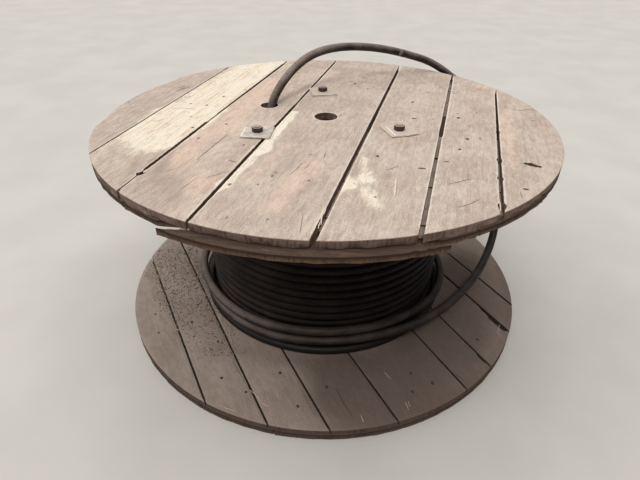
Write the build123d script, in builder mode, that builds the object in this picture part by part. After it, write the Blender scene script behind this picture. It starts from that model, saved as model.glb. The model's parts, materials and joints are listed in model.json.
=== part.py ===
from build123d import *

import os
from dataclasses import dataclass
from math import copysign, cos, pi, radians, sin, sqrt, tan

# Wooden cable drum standing on one flange, with its cable wound on the barrel.
#
# Millimetres, +Z up. The drum's axis is Z and the floor is Z = 0, so the origin is the middle
# of the spindle bore at the underside. The loose end of the cable leaves the winding low at the
# back (+Y), goes round nearly three times, climbs past the right side (+X) and over the rim of the
# upper flange, and dips into the drive hole on top.
#
# Each flange is two crossed layers of sawn boards. Twelve staves make the barrel, three long bolts
# clamp the flanges on its ends, and the winding fills the space between the flanges.

# Flanges
flange_diameter = 1200.0
outer_board_thickness = 20.0
inner_board_thickness = 16.0
inside_width = 498.0
bore_diameter = 62.0
proud_board_reach = 20.0

# Barrel
barrel_diameter = 525.0
stave_thickness = 26.0
stave_count = 12
stave_joint = 1.2

# Tie bolts, nuts and washers
bolt_to_stave = 24.5
bolt_azimuths = (-29.0, 92.5, -144.5)
bolt_diameter = 16.0
bolt_hole_clearance = 1.0
nut_across_flats = 24.0
nut_height = 12.0
bolt_stub = 1.5
bolt_head_height = 10.0
plate_washer_side = 75.0
plate_washer_thickness = 4.0
plate_washer_chamfer = 0.6
plate_washer_turns = (18.0, 10.0, -5.0)
round_washer_diameter = 44.0
round_washer_thickness = 3.0
pocket_diameter = 48.0
seat_gap = 0.3

# Drive hole, where the cable's end is tucked away
drive_hole_diameter = 50.0
drive_hole_inside_bolt_circle = 27.7
drive_hole_azimuth = 151.6

# Cable
cable_diameter = 24.0
wound_layers = 4
groove_depth = 10.0
crest_share = 0.4
winding_fit = 0.3

# Worked out from the sizes above
flange_radius = flange_diameter / 2
barrel_radius = barrel_diameter / 2
bolt_circle_radius = barrel_radius - stave_thickness - bolt_to_stave
drive_hole_radius = bolt_circle_radius - drive_hole_inside_bolt_circle
beyond_rim = 1.5 * flange_radius
lower_inner_face = outer_board_thickness + inner_board_thickness
upper_inner_face = lower_inner_face + inside_width
upper_layer_seam = upper_inner_face + inner_board_thickness
top_face = upper_layer_seam + outer_board_thickness
cable_radius = cable_diameter / 2
turns_across = int(inside_width / cable_diameter)
turn_pitch = inside_width / turns_across
layer_rise = sqrt(cable_diameter**2 - (turn_pitch / 2) ** 2)
winding_bore_radius = barrel_radius + winding_fit
winding_radius = winding_bore_radius + cable_diameter + (wound_layers - 1) * layer_rise

os.makedirs("parts", exist_ok=True)


@dataclass(frozen=True)
class Gap:
    """Open joint between two boards, placed across the boards on a scale that follows the drum:
    0 is the axis, 1 the bolt circle and 2 the rim.

    near and far are its places at the two ends of the boards, width and far_width how wide it is.
    """

    near: float
    width: float
    far: float
    far_width: float


def even_gap(place, width):
    """A joint that runs parallel to the boards, equally wide from end to end."""
    return Gap(place, width, place, width)


@dataclass(frozen=True)
class Layer:
    """One layer of parallel boards in a round flange."""

    name: str
    level: float
    thickness: float
    grain_azimuth: float
    gaps: tuple
    proud_first_board: float = 0.0


def across(place):
    """Distance from the axis of a joint's place on the scale of Gap."""
    past_bolts = max(abs(place) - 1, 0) * (flange_radius - bolt_circle_radius)
    return copysign(min(abs(place), 1) * bolt_circle_radius + past_bolts, place)


def polar(radius, azimuth):
    """Point in the XY plane from a radius and an azimuth in degrees."""
    return radius * cos(radians(azimuth)), radius * sin(radians(azimuth))


bolt_places = [polar(bolt_circle_radius, azimuth) for azimuth in bolt_azimuths]


def save(part, name):
    """Label a finished piece and write its STEP file."""
    part.label = name
    export_step(part, f"parts/{name}.step")


def saw_board(layer, number, before, after, cuts):
    """Make one board of a layer: a strip between two gaps, sawn to the flange's round edge."""
    reach = flange_radius + (layer.proud_first_board if number == 1 else 0.0)
    near_low = across(before.near) + before.width / 2
    far_low = across(before.far) + before.far_width / 2
    near_high = across(after.near) - after.width / 2
    far_high = across(after.far) - after.far_width / 2
    corners = (-beyond_rim, near_low), (beyond_rim, far_low), (beyond_rim, far_high), (-beyond_rim, near_high)
    board_plane = Plane.XY.offset(layer.level).rotated((0, 0, layer.grain_azimuth))
    with BuildPart() as board:
        with BuildSketch(board_plane):
            Circle(reach)
            with BuildLine():
                Polyline(*corners, close=True)
            make_face(mode=Mode.INTERSECT)
        extrude(amount=layer.thickness)
        for diameter, places in cuts:
            with BuildSketch(Plane.XY.offset(layer.level)):
                with Locations(*places):
                    Circle(diameter / 2)
            extrude(amount=layer.thickness, mode=Mode.SUBTRACT)
    save(board.part, f"{layer.name}_board_{number}")


def lay_boards(layer, cuts):
    """Make every board of a layer, from its lowest gap to its highest."""
    past_rim = 3
    joints = [even_gap(-past_rim, 0), *layer.gaps, even_gap(past_rim, 0)]
    for number, (before, after) in enumerate(zip(joints, joints[1:]), start=1):
        saw_board(layer, number, before, after, cuts)


# Gap places across each layer, from its low side to its high side
floor_layer = Layer(
    "lower_outer",
    0.0,
    outer_board_thickness,
    27.0,
    tuple(even_gap(place, 3.0) for place in (-1.665, -1.291, -0.542, 0.354, 1.085, 1.407, 1.704)),
)
lower_inner_layer = Layer(
    "lower_inner",
    outer_board_thickness,
    inner_board_thickness,
    -62.75,
    tuple(even_gap(place, 3.0) for place in (-1.737, -1.445, -1.126, -0.495, 0.486, 0.991, 1.353, 1.590)),
)
upper_inner_layer = Layer(
    "upper_inner",
    upper_inner_face,
    inner_board_thickness,
    -7.5,
    (
        Gap(-1.945, 42, -1.793, 1),
        *(even_gap(place, 4.0) for place in (-1.716, -1.317, -0.877, -0.212, 0.495, 1.052, 1.343, 1.665)),
    ),
    proud_first_board=proud_board_reach,
)
upper_outer_layer = Layer(
    "upper_outer",
    upper_layer_seam,
    outer_board_thickness,
    74.76,
    (
        Gap(-1.600, 10, -1.620, 2),
        Gap(-1.245, 10.5, -1.260, 3.5),
        Gap(-0.642, 11, -0.566, 8),
        Gap(0.456, 5, 0.566, 5),
        Gap(1.198, 2, 1.198, 6),
        Gap(1.616, 2, 1.652, 2),
    ),
)

bore_cut = (bore_diameter, [(0, 0)])
bolt_cut = (bolt_diameter + 2 * bolt_hole_clearance, bolt_places)
pocket_cut = (pocket_diameter, bolt_places)
drive_cut = (drive_hole_diameter, [polar(drive_hole_radius, drive_hole_azimuth)])

lay_boards(floor_layer, [bore_cut, pocket_cut])
lay_boards(lower_inner_layer, [bore_cut, bolt_cut])
lay_boards(upper_inner_layer, [bore_cut, bolt_cut, drive_cut])
lay_boards(upper_outer_layer, [bore_cut, bolt_cut, drive_cut])

# Barrel staves, each a flat-jointed sector of the ring, clamped between the flanges
stave_angle = 360 / stave_count
half_angle = radians(stave_angle / 2)
wedge_apex = stave_joint / 2 / sin(half_angle)
wedge_reach = 2 * barrel_radius
wedge_side = (wedge_reach - wedge_apex) * tan(half_angle)
for number in range(1, stave_count + 1):
    stave_plane = Plane.XY.offset(lower_inner_face).rotated((0, 0, (number - 0.5) * stave_angle))
    with BuildPart() as stave:
        with BuildSketch(stave_plane):
            Circle(barrel_radius)
            Circle(barrel_radius - stave_thickness, mode=Mode.SUBTRACT)
            with BuildLine():
                Polyline((wedge_apex, 0), (wedge_reach, wedge_side), (wedge_reach, -wedge_side), close=True)
            make_face(mode=Mode.INTERSECT)
        extrude(amount=inside_width)
    save(stave.part, f"barrel_stave_{number}")

# Tie bolts: heads in pockets under the drum, nuts on square plate washers on top
plate_top = top_face + plate_washer_thickness
head_seat = outer_board_thickness - round_washer_thickness
for number, (x, y) in enumerate(bolt_places, start=1):
    with BuildPart() as tie_bolt:
        with BuildSketch(Plane.XY.offset(head_seat - bolt_head_height)):
            with Locations((x, y)):
                RegularPolygon(nut_across_flats / 2, 6, major_radius=False)
        extrude(amount=bolt_head_height)
        with BuildSketch(Plane.XY.offset(head_seat)):
            with Locations((x, y)):
                Circle(bolt_diameter / 2)
        extrude(amount=plate_top + nut_height + bolt_stub - head_seat)
    save(tie_bolt.part, f"tie_bolt_{number}")

    with BuildPart() as plate_washer:
        with BuildSketch(Plane.XY.offset(top_face)):
            with Locations((x, y)):
                Rectangle(plate_washer_side, plate_washer_side, rotation=plate_washer_turns[number - 1])
                Circle(bolt_diameter / 2 + seat_gap, mode=Mode.SUBTRACT)
        extrude(amount=plate_washer_thickness)
        chamfer(plate_washer.faces().sort_by(Axis.Z)[-1].outer_wire().edges(), plate_washer_chamfer)
    save(plate_washer.part, f"plate_washer_{number}")

    with BuildPart() as nut:
        with BuildSketch(Plane.XY.offset(plate_top)):
            with Locations((x, y)):
                RegularPolygon(nut_across_flats / 2, 6, major_radius=False)
                Circle(bolt_diameter / 2 + seat_gap, mode=Mode.SUBTRACT)
        extrude(amount=nut_height)
    save(nut.part, f"nut_{number}")

with BuildPart() as round_washers:
    with BuildSketch(Plane.XY.offset(head_seat)):
        with Locations(*bolt_places):
            Circle(round_washer_diameter / 2)
            Circle(bolt_diameter / 2 + seat_gap, mode=Mode.SUBTRACT)
    extrude(amount=round_washer_thickness)
save(round_washers.part, "round_washers")

# Wound cable: one turned solid with the barrel's bore, its outermost turns as ridges
groove_radius = winding_radius - groove_depth
shoulder = (1 - crest_share) / 2 * turn_pitch
with BuildPart() as cable_winding:
    with BuildSketch(Plane.XZ):
        with BuildLine():
            Polyline(
                (groove_radius, lower_inner_face),
                (winding_bore_radius, lower_inner_face),
                (winding_bore_radius, upper_inner_face),
                (groove_radius, upper_inner_face),
            )
            for turn in range(turns_across):
                foot = lower_inner_face + turn * turn_pitch
                Polyline(
                    (groove_radius, foot),
                    (winding_radius, foot + shoulder),
                    (winding_radius, foot + turn_pitch - shoulder),
                    (groove_radius, foot + turn_pitch),
                )
        make_face()
    revolve(axis=Axis.Z)
save(cable_winding.part, "cable_winding")

# Loose turns round the winding, from the back and counter-clockwise seen from above:
# centre-line radius, and height over the lower flange's boards, every 30 degrees
turn_step = 30.0
first_turn_azimuth = 120.0
loose_turns = [
    (361, 12.3), (364, 12.3), (366, 12.3), (364, 12.3), (361, 12.3), (361, 12.3),
    (361, 12.3), (361, 12.3), (361, 12.3), (364, 12.3), (377, 18), (388, 29),
    (391, 44), (393, 56), (391, 60), (365, 62), (361.5, 72), (361.5, 84),
    (361.5, 76), (371, 60), (375, 49), (368, 43), (362, 40), (361, 38),
    (361, 37), (364, 36.7), (367, 36.7), (365, 36.7), (362, 37.5), (361.5, 50),
    (373, 53),
]

# From the front the cable climbs round the right side: azimuth, radius, height over the floor
climb = [
    (-42, 411, 98), (-27, 443, 110), (-13, 485, 126), (0, 537, 156), (9, 576, 218),
    (15, 604, 296), (21, 622, 380), (28, 636, 454), (34.5, 646, 494), (41, 652, 518),
]

# Over the rim and down into the drive hole: x, y, height over the floor
arch = [
    (442, 463, 556), (368, 470, 600), (284, 432, 631), (200, 378, 660), (115, 322, 681), (32, 270, 690),
    (-36, 218, 684), (-90, 168, 658), (-135, 118, 613), (-160, 89.5, 563), (-165, 84, 507),
]

# The winding is left half a step before the first corner, and each corner of the route lies
# outside the arc that the cable follows there
half_step = radians(turn_step / 2)
exit_radius, exit_height = loose_turns[0]
route = [(*polar(exit_radius, first_turn_azimuth - turn_step / 2), lower_inner_face + exit_height)]
for i, (radius, height) in enumerate(loose_turns):
    x, y = polar(radius / cos(half_step), first_turn_azimuth + i * turn_step)
    route.append((x, y, lower_inner_face + height))
route += [(*polar(radius, azimuth), height) for azimuth, radius, height in climb]
route += arch

runs = [Vector(*b) - Vector(*a) for a, b in zip(route, route[1:])]
bend_radii = []
for before, after in zip(runs, runs[1:]):
    half_turn = radians(before.get_angle(after)) / 2
    bend_radii.append(0.45 * min(before.length, after.length) / tan(half_turn))
print("cable bend radii", [round(radius) for radius in bend_radii], "smallest", round(min(bend_radii)))

with BuildPart() as cable_tail:
    with BuildLine() as tail_path:
        FilletPolyline(*route, radius=bend_radii)
    with BuildSketch(Plane(origin=route[0], z_dir=runs[0])):
        Circle(cable_radius)
    sweep()
tail_length = tail_path.wires()[0].length
volume_share = cable_tail.part.volume / (pi * cable_radius**2 * tail_length)
print("cable tail length", round(tail_length), "volume share", round(volume_share, 4))
save(cable_tail.part, "cable_tail")
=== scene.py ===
"""Looks of a wooden cable drum: worn and dusty boards, wound and loose cable, rusty bolts, litter.

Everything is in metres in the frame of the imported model: +Z up along the drum's axis, the floor at
Z = 0, +Y away from the camera.
"""

import json
import logging
from dataclasses import dataclass, field
from enum import Enum
from math import cos, pi, radians, sin
from typing import Any, Iterable

import bpy
import numpy as np
from mathutils.geometry import delaunay_2d_cdt
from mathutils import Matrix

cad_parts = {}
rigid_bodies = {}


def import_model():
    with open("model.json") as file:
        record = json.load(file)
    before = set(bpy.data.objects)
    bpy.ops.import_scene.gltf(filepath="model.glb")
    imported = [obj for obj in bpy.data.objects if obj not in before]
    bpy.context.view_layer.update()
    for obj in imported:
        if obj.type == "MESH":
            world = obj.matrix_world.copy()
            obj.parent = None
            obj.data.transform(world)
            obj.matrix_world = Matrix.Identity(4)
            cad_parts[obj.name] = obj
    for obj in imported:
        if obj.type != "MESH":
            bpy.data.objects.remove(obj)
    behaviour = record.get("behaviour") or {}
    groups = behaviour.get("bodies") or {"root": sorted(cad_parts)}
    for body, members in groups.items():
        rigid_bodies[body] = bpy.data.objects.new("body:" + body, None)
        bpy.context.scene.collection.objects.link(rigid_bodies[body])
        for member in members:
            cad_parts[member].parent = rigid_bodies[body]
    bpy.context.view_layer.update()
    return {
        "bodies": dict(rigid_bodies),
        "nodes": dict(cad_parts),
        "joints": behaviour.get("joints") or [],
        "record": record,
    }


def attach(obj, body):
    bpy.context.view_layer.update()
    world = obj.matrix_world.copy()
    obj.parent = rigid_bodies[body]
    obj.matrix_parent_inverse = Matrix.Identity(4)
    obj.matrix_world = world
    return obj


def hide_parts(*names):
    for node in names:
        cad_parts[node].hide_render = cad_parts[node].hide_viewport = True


log = logging.getLogger("drum")

MM = 0.001
BODY = "root"
FLANGE_RADIUS = 600 * MM
# azimuths of the grain in the two faces that carry marks, in degrees
TOP_GRAIN = 74.76
LOWER_GRAIN = -62.75
STAVES = 12
BOLTS = 3
Colour = tuple[float, float, float, float]
Array = np.ndarray


def tone(red: int, green: int, blue: int) -> Colour:
    """Scene colour of a tone that is written in the usual 0 to 255 steps.

    Args:
        red: Red step.
        green: Green step.
        blue: Blue step.

    Returns:
        The linear colour, opaque.
    """
    steps = np.array((red, green, blue)) / 255
    linear = np.where(steps <= 0.04045, steps / 12.92, ((steps + 0.055) / 1.055) ** 2.4)
    return (*map(float, linear), 1.0)


def put(name: str, data: bpy.types.ID) -> bpy.types.Object:
    """Put a mesh, a curve, a camera or a lamp into the scene."""
    placed = bpy.data.objects.new(name, data)
    bpy.context.scene.collection.objects.link(placed)
    return placed


def unit(vectors: Array) -> Array:
    """Vectors of length 1 with the same directions, (n, d)."""
    return vectors / np.linalg.norm(vectors, axis=1, keepdims=True)


def full_turn(count: int) -> Array:
    """Angles that part a circle evenly, in radians."""
    return np.arange(count) * 2 * pi / count


def eased(share: Array) -> Array:
    """Share held between 0 and 1 that leaves both gently: its square times three less its double."""
    share = np.clip(share, 0, 1)
    return share**2 * (3 - 2 * share)


class Level(Enum):
    """Heights of the drum's faces over the floor."""

    LOWER_SEAM = 20 * MM
    LOWER_FACE = 36 * MM
    UPPER_SEAM = 550 * MM
    TOP = 570 * MM


class Channel(Enum):
    """What is painted on a board, one number per point of its mesh."""

    BARE = "bare"
    ROSY = "rosy"
    DUST = "dust"
    # grey dirt, and also painted shade: the cable arch's shadow on the top boards, the shade under the top
    # boards' rim and the upper flange's shade on the lower one
    SMEAR_AND_SHADE = "smear"
    STAIN = "stain"
    SIDE = "side"
    # painted shade on the upper part of a board's sawn sides, under the board above
    SIDE_SHADE = "grime"
    # painted highlight along the upper arrises
    ARRIS_HIGHLIGHT = "arris"


@dataclass(frozen=True)
class PhotoView:
    """The camera at the photograph's viewing angle, and what its pixels see.

    roll turns it about its own axis, in radians.
    """

    lens: float = 27.133
    sensor_width: float = 36.0
    place: tuple[float, float, float] = (-0.0131, -1.2744, 1.0312)
    tilt: float = 55.71
    roll: float = 0.0098
    width: int = 640
    height: int = 480

    def on_level(self, pixels: Array, level: float) -> Array:
        """Points of a level plane that pixels see.

        A pixel's ray is turned by the camera's roll and tilt and followed down to the level.

        Args:
            pixels: Pixel places, (n, 2), from the picture's upper left corner.
            level: Height of the plane.

        Returns:
            The points' X and Y, (n, 2).
        """
        focal = self.lens / self.sensor_width * self.width
        aside = (pixels[:, 0] - self.width / 2) / focal
        above = (self.height / 2 - pixels[:, 1]) / focal
        right = cos(self.roll) * aside - sin(self.roll) * above
        up = sin(self.roll) * aside + cos(self.roll) * above
        lean = radians(self.tilt)
        forward = up * cos(lean) + sin(lean)
        rise = up * sin(lean) - cos(lean)
        reach = (level - self.place[2]) / rise
        return np.column_stack((self.place[0] + reach * right, self.place[1] + reach * forward))

    def set_up(self) -> None:
        """Create the scene's camera."""
        camera = bpy.data.cameras.new("photo_view")
        camera.lens = self.lens
        camera.sensor_width = self.sensor_width
        seat = put("photo_view", camera)
        seat.location = self.place
        seat.rotation_mode = "ZYX"
        seat.rotation_euler = (radians(self.tilt), 0, self.roll)
        bpy.context.scene.camera = seat


VIEW = PhotoView()


class Value:
    """A node's output that takes part in Python expressions, each of which adds a Math node."""

    def __init__(self, recipe: "Recipe", socket: bpy.types.NodeSocket) -> None:
        """Wrap a socket of a recipe's node tree."""
        self.recipe = recipe
        self.socket = socket

    def math(self, operation: str, first: Any, second: Any = 0.0) -> "Value":
        """Add a Math node of two values."""
        return self.recipe.node("ShaderNodeMath", {"operation": operation}, {0: first, 1: second})

    def __add__(self, other: Any) -> "Value":
        """Sum."""
        return self.math("ADD", self, other)

    def __sub__(self, other: Any) -> "Value":
        """Difference."""
        return self.math("SUBTRACT", self, other)

    def __rsub__(self, other: Any) -> "Value":
        """Difference from a number."""
        return self.math("SUBTRACT", other, self)

    def __mul__(self, other: Any) -> "Value":
        """Product."""
        return self.math("MULTIPLY", self, other)

    __radd__ = __add__
    __rmul__ = __mul__

    def clear(self, low: float, high: float) -> "Value":
        """Smooth step from 0 at low to 1 at high."""
        settings = {"interpolation_type": "SMOOTHSTEP"}
        return self.recipe.node("ShaderNodeMapRange", settings, {0: self, 1: low, 2: high})


class Recipe:
    """The node tree of one material, built around a Principled shader."""

    def __init__(self, name: str) -> None:
        """Start a material with a shader and its output."""
        self.material = bpy.data.materials.new(name)
        self.material.use_nodes = True
        self.tree = self.material.node_tree
        self.tree.nodes.clear()
        self.shader = self.tree.nodes.new("ShaderNodeBsdfPrincipled")
        output = self.tree.nodes.new("ShaderNodeOutputMaterial")
        self.tree.links.new(self.shader.outputs[0], output.inputs[0])

    def node(self, kind: str, settings: dict[str, Any], inputs: dict[Any, Any], output: int = 0) -> Value:
        """Add any node.

        Args:
            kind: The node's type.
            settings: Its properties, set first.
            inputs: Values or links of its sockets, by name or number.
            output: Which output is wanted.

        Returns:
            That output.
        """
        made = self.tree.nodes.new(kind)
        for name, setting in settings.items():
            setattr(made, name, setting)
        self.fill(made, inputs)
        return Value(self, made.outputs[output])

    def fill(self, made: bpy.types.Node, inputs: dict[Any, Any]) -> None:
        """Set or link a node's inputs."""
        for name, value in inputs.items():
            if isinstance(value, Value):
                self.tree.links.new(value.socket, made.inputs[name])
            else:
                made.inputs[name].default_value = value

    def place(self) -> Value:
        """Place on the object, in metres."""
        return self.node("ShaderNodeTexCoord", {}, {}, 3)

    def facing(self) -> Value:
        """How far the surface faces up, from -1 to 1."""
        return self.part(self.node("ShaderNodeNewGeometry", {}, {}, 1), 2)

    def part(self, vector: Value, axis: int) -> Value:
        """A vector's X, Y or Z, by number."""
        return self.node("ShaderNodeSeparateXYZ", {}, {0: vector}, axis)

    def painted(self, name: str, output: int = 2) -> Value:
        """Something that is painted on the mesh: 2 gives a number, 1 a vector."""
        return self.node("ShaderNodeAttribute", {"attribute_name": name}, {}, output)

    def noise(self, vector: Value, scale: float, detail: float, distortion: float = 0.0) -> Value:
        """Noise about 0.5."""
        inputs = {"Vector": vector, "Scale": scale, "Detail": detail, "Distortion": distortion}
        return self.node("ShaderNodeTexNoise", {}, inputs)

    def drawn(
        self, vector: Value, waves: tuple[float, float, float], detail: float = 4.0, distortion: float = 0.0
    ) -> Value:
        """Noise about 0.5 that is drawn out: its waves in a metre differ from axis to axis."""
        stretched = self.node("ShaderNodeVectorMath", {"operation": "MULTIPLY"}, {0: vector, 1: waves})
        return self.noise(stretched, 1.0, detail, distortion)

    def mix(self, share: Value, first: Any, second: Any) -> Value:
        """Colour between two colours."""
        return self.node("ShaderNodeMix", {"data_type": "RGBA"}, {0: share, 6: first, 7: second}, 2)

    def coats(self, colour: Any, *coats: tuple[Value, Any]) -> Value:
        """A colour under coats, each given as the share that it covers and its own colour."""
        for share, coat in coats:
            colour = self.mix(share, colour, coat)
        return colour

    def finish(
        self, colour: Value, roughness: Any, height: Value, relief: float, **fixed: Any
    ) -> bpy.types.Material:
        """Connect the shader.

        Args:
            colour: Base colour.
            roughness: Number or value.
            height: Height map for the bump.
            relief: How high a height of 1 stands, in metres.
            fixed: Other sockets' numbers, by name with _ for a blank.

        Returns:
            The material.
        """
        bump = self.node("ShaderNodeBump", {}, {"Strength": 1.0, "Distance": relief, "Height": height})
        self.fill(self.shader, {"Base Color": colour, "Roughness": roughness, "Normal": bump})
        self.fill(self.shader, {name.replace("_", " "): value for name, value in fixed.items()})
        return self.material


@dataclass(frozen=True)
class WeatheredWood:
    """Sawn softwood that went grey and brown outdoors and gathered dust.
    Its smear carries grey dirt and also painted shade and shadow, its grime painted shade on the sawn sides,
    and its arris channel a painted highlight along the upper edges.
    """

    name: str
    wood: Colour = tone(172, 144, 120)
    streak: Colour = tone(124, 98, 78)
    bare: Colour = tone(246, 234, 214)
    bare_line: Colour = tone(228, 198, 164)
    rosy: Colour = tone(231, 200, 180)
    dust: Colour = tone(208, 191, 176)
    dull_dust: Colour = tone(187, 168, 154)
    # tone of grey dirt smears and of painted shade
    smear: Colour = tone(170, 153, 141)
    fleck: Colour = tone(122, 100, 84)
    side: Colour = tone(136, 114, 102)
    side_line: Colour = tone(68, 48, 38)
    stain: Colour = tone(62, 48, 40)
    speck: Colour = tone(246, 234, 214)
    fibre_share: float = 0.38
    grain_relief: float = 0.45 * MM

    def material(self) -> bpy.types.Material:
        """Build it on a board's painted channels and grain coordinates."""
        recipe = Recipe(self.name)
        grain = recipe.painted("grain", 1)
        fibre = recipe.drawn(grain, (8, 230, 230))
        bands = recipe.drawn(grain, (1.3, 26, 26), distortion=0.8)
        patches = recipe.drawn(grain, (8, 13, 13), 6.0)
        scuffs = recipe.drawn(grain, (42, 90, 90), distortion=0.5)
        grit = recipe.noise(grain, 340.0, 2.0)
        flecks = recipe.noise(grain, 240.0, 2.0)
        mottle = recipe.drawn(grain, (30, 90, 90), 5.0, 0.6)
        scratch = recipe.drawn(grain, (9, 34, 34), 2.0, 1.2) - 0.5
        scratched = scratch.math("ABSOLUTE", scratch).clear(0.012, 0.002)
        torn = (patches - 0.5) * 0.8 + (fibre - 0.5) * 0.5 + (scuffs - 0.5) * 0.7

        def painted(channel: Channel, tearing: float, low: float, high: float) -> Value:
            """Where a channel was painted, with torn edges."""
            return (recipe.painted(channel.value) + torn * tearing).clear(low, high)

        bare = painted(Channel.BARE, 1.0, 0.22, 0.74)
        rosy = painted(Channel.ROSY, 0.8, 0.15, 0.85)
        dust = painted(Channel.DUST, 0.7, 0.20, 0.75)
        # dirt smears together with painted shade and shadow
        smear = painted(Channel.SMEAR_AND_SHADE, 0.5, 0.08, 1.0)
        stain = painted(Channel.STAIN, 0.6, 0.35, 0.65)
        # painted highlight along the upper arrises
        arris = painted(Channel.ARRIS_HIGHLIGHT, 0.5, 0.35, 0.9)
        side = recipe.painted(Channel.SIDE.value)
        clean = 1 - smear * 0.75

        wood = recipe.mix((bands * 0.6 + fibre * 0.6).clear(0.48, 0.74), self.wood, self.streak)
        dusty = recipe.mix((patches * 0.6 + scuffs * 0.4).clear(0.62, 0.38), self.dust, self.dull_dust)
        pale = recipe.mix((bands * 0.4 + fibre * 0.6).clear(0.47, 0.66) * 0.75, self.bare, self.bare_line)
        place = recipe.place()
        upright = recipe.drawn(place, (210, 210, 34))
        blots = recipe.drawn(place, (26, 26, 70))
        sawn = recipe.coats(
            self.side,
            ((upright * 0.6 + blots * 0.4).clear(0.44, 0.66) * 0.7, self.side_line),
            ((blots * 0.7 + grit * 0.3).clear(0.46, 0.34) * 0.5, self.smear),
            # painted shade: the sawn side turns dark towards its upper edge
            (recipe.painted(Channel.SIDE_SHADE.value), self.side_line),
        )
        colour = recipe.coats(
            wood,
            (dust, dusty),
            (rosy * 0.7, self.rosy),
            (bare, pale),
            (bare * (1 - bare) * 0.9, self.streak),
            (smear * 0.8, self.smear),
            (fibre.clear(0.50, 0.70) * (0.42 * self.fibre_share), self.streak),
            (fibre.clear(0.46, 0.30) * clean * (0.35 * self.fibre_share), self.speck),
            (grit.clear(0.50, 0.70) * 0.30, self.streak),
            (grit.clear(0.49, 0.30) * clean * 0.28, self.speck),
            (mottle.clear(0.50, 0.70) * 0.19, self.streak),
            (mottle.clear(0.48, 0.30) * clean * 0.17, self.speck),
            (flecks.clear(0.69, 0.76) * 0.8, self.fleck),
            (flecks.clear(0.31, 0.24) * clean * 0.6, self.speck),
            (scratched * scuffs.clear(0.52, 0.62) * 0.35, self.fleck),
            # painted highlight: pale line along the upper arrises
            (arris * 0.5, self.speck),
            (side, sawn),
            (stain, self.stain),
        )
        height = fibre * 0.6 + bands * 0.3 + grit * 0.3 + scuffs * 0.5 + upright * side
        height = height - scratched * 0.5 + bare * 0.4
        return recipe.finish(colour, 0.92, height, self.grain_relief, Specular_IOR_Level=0.25)


@dataclass(frozen=True)
class HiddenWood:
    """Sawn wood of the barrel, out of the weather."""

    name: str
    wood: Colour = tone(150, 120, 92)
    streak: Colour = tone(106, 80, 58)

    def material(self) -> bpy.types.Material:
        """Build it with its grain up the staves."""
        recipe = Recipe(self.name)
        place = recipe.place()
        fibre = recipe.drawn(place, (150, 150, 5), 5.0)
        bands = recipe.drawn(place, (22, 22, 1.2), 3.0, 0.6)
        colour = recipe.mix((fibre * 0.5 + bands * 0.5).clear(0.40, 0.62), self.wood, self.streak)
        return recipe.finish(colour, 0.9, fibre, 0.4 * MM, Specular_IOR_Level=0.25)


@dataclass(frozen=True)
class DustySheath:
    """Black rubber sheath under dust, which lies thickest on top and to the drum's left; low down, under the
    upper loose turn, it keeps neither dust nor worn tone, a painted shade.

    Scuffs are bare pale places on it: where each is, how far it reaches, and how strong it is.
    """

    name: str
    rubber: Colour = tone(24, 19, 17)
    worn: Colour = tone(60, 50, 46)
    dust: Colour = tone(156, 140, 129)
    least: float = 0.06
    leftmost: float = 0.62
    raised: float = 0.76
    sheen: float = 0.25
    scuffs: tuple[tuple[tuple[float, float, float], float, float], ...] = ()

    def material(self) -> bpy.types.Material:
        """Build it on the object's own place and facing."""
        recipe = Recipe(self.name)
        place = recipe.place()
        level = recipe.part(place, 2)
        left = (recipe.part(place, 0) * -1.0).clear(-0.05, 0.38)
        high = level.clear(0.42, 0.60)
        # painted shade: below about 56 to 86 mm the sheath takes neither dust nor worn tone, so the low loose
        # turns stay black as in shade
        out_of_shade = level.clear(0.056, 0.086) * 0.95 + 0.05
        patches = recipe.noise(place, 16.0, 5.0)
        grit = recipe.noise(place, 260.0, 4.0)
        wear = recipe.drawn(place, (36, 36, 150))
        lying = (recipe.facing() + (patches - 0.5) * 1.3 + (grit - 0.5) * 0.9).clear(-0.25, 1.15)
        covered = lying * out_of_shade * (left * self.leftmost + high * self.raised + self.least)
        colour = recipe.coats(
            self.rubber,
            ((wear * 0.6 + patches * 0.5).clear(0.42, 0.72) * out_of_shade, self.worn),
            (covered, self.dust),
            ((wear * 0.4 + grit * 0.6).clear(0.52, 0.64) * 0.6, self.rubber),
        )
        for spot, reach, strength in self.scuffs:
            away = recipe.node("ShaderNodeVectorMath", {"operation": "DISTANCE"}, {0: place, 1: spot}, 1)
            bared = (away + (grit - 0.5) * reach).clear(reach, reach * 0.6)
            colour = recipe.mix(bared * strength, colour, self.dust)
        roughness = covered * 0.35 + 0.50
        height = grit * covered + wear * 0.5 + patches * 0.3
        return recipe.finish(colour, roughness, height, 0.35 * MM, Specular_IOR_Level=self.sheen)


@dataclass(frozen=True)
class RustySteel:
    """Steel gone to dark rust, dusty where it faces up."""

    name: str
    steel: Colour = tone(58, 48, 42)
    rust: Colour = tone(80, 62, 50)
    dust: Colour = tone(190, 170, 154)
    dusting: float = 0.8

    def material(self) -> bpy.types.Material:
        """Build it on the object's own place and facing."""
        recipe = Recipe(self.name)
        place = recipe.place()
        patches = recipe.noise(place, 110.0, 5.0)
        grit = recipe.noise(place, 700.0, 2.0)
        lying = (recipe.facing() + (patches - 0.5) * 0.8).clear(0.5, 1.0) * self.dusting
        colour = recipe.coats(self.steel, (patches.clear(0.42, 0.62), self.rust), (lying, self.dust))
        return recipe.finish(colour, 0.75, patches + grit * 0.5, 0.5 * MM, Metallic=0.0)


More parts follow.
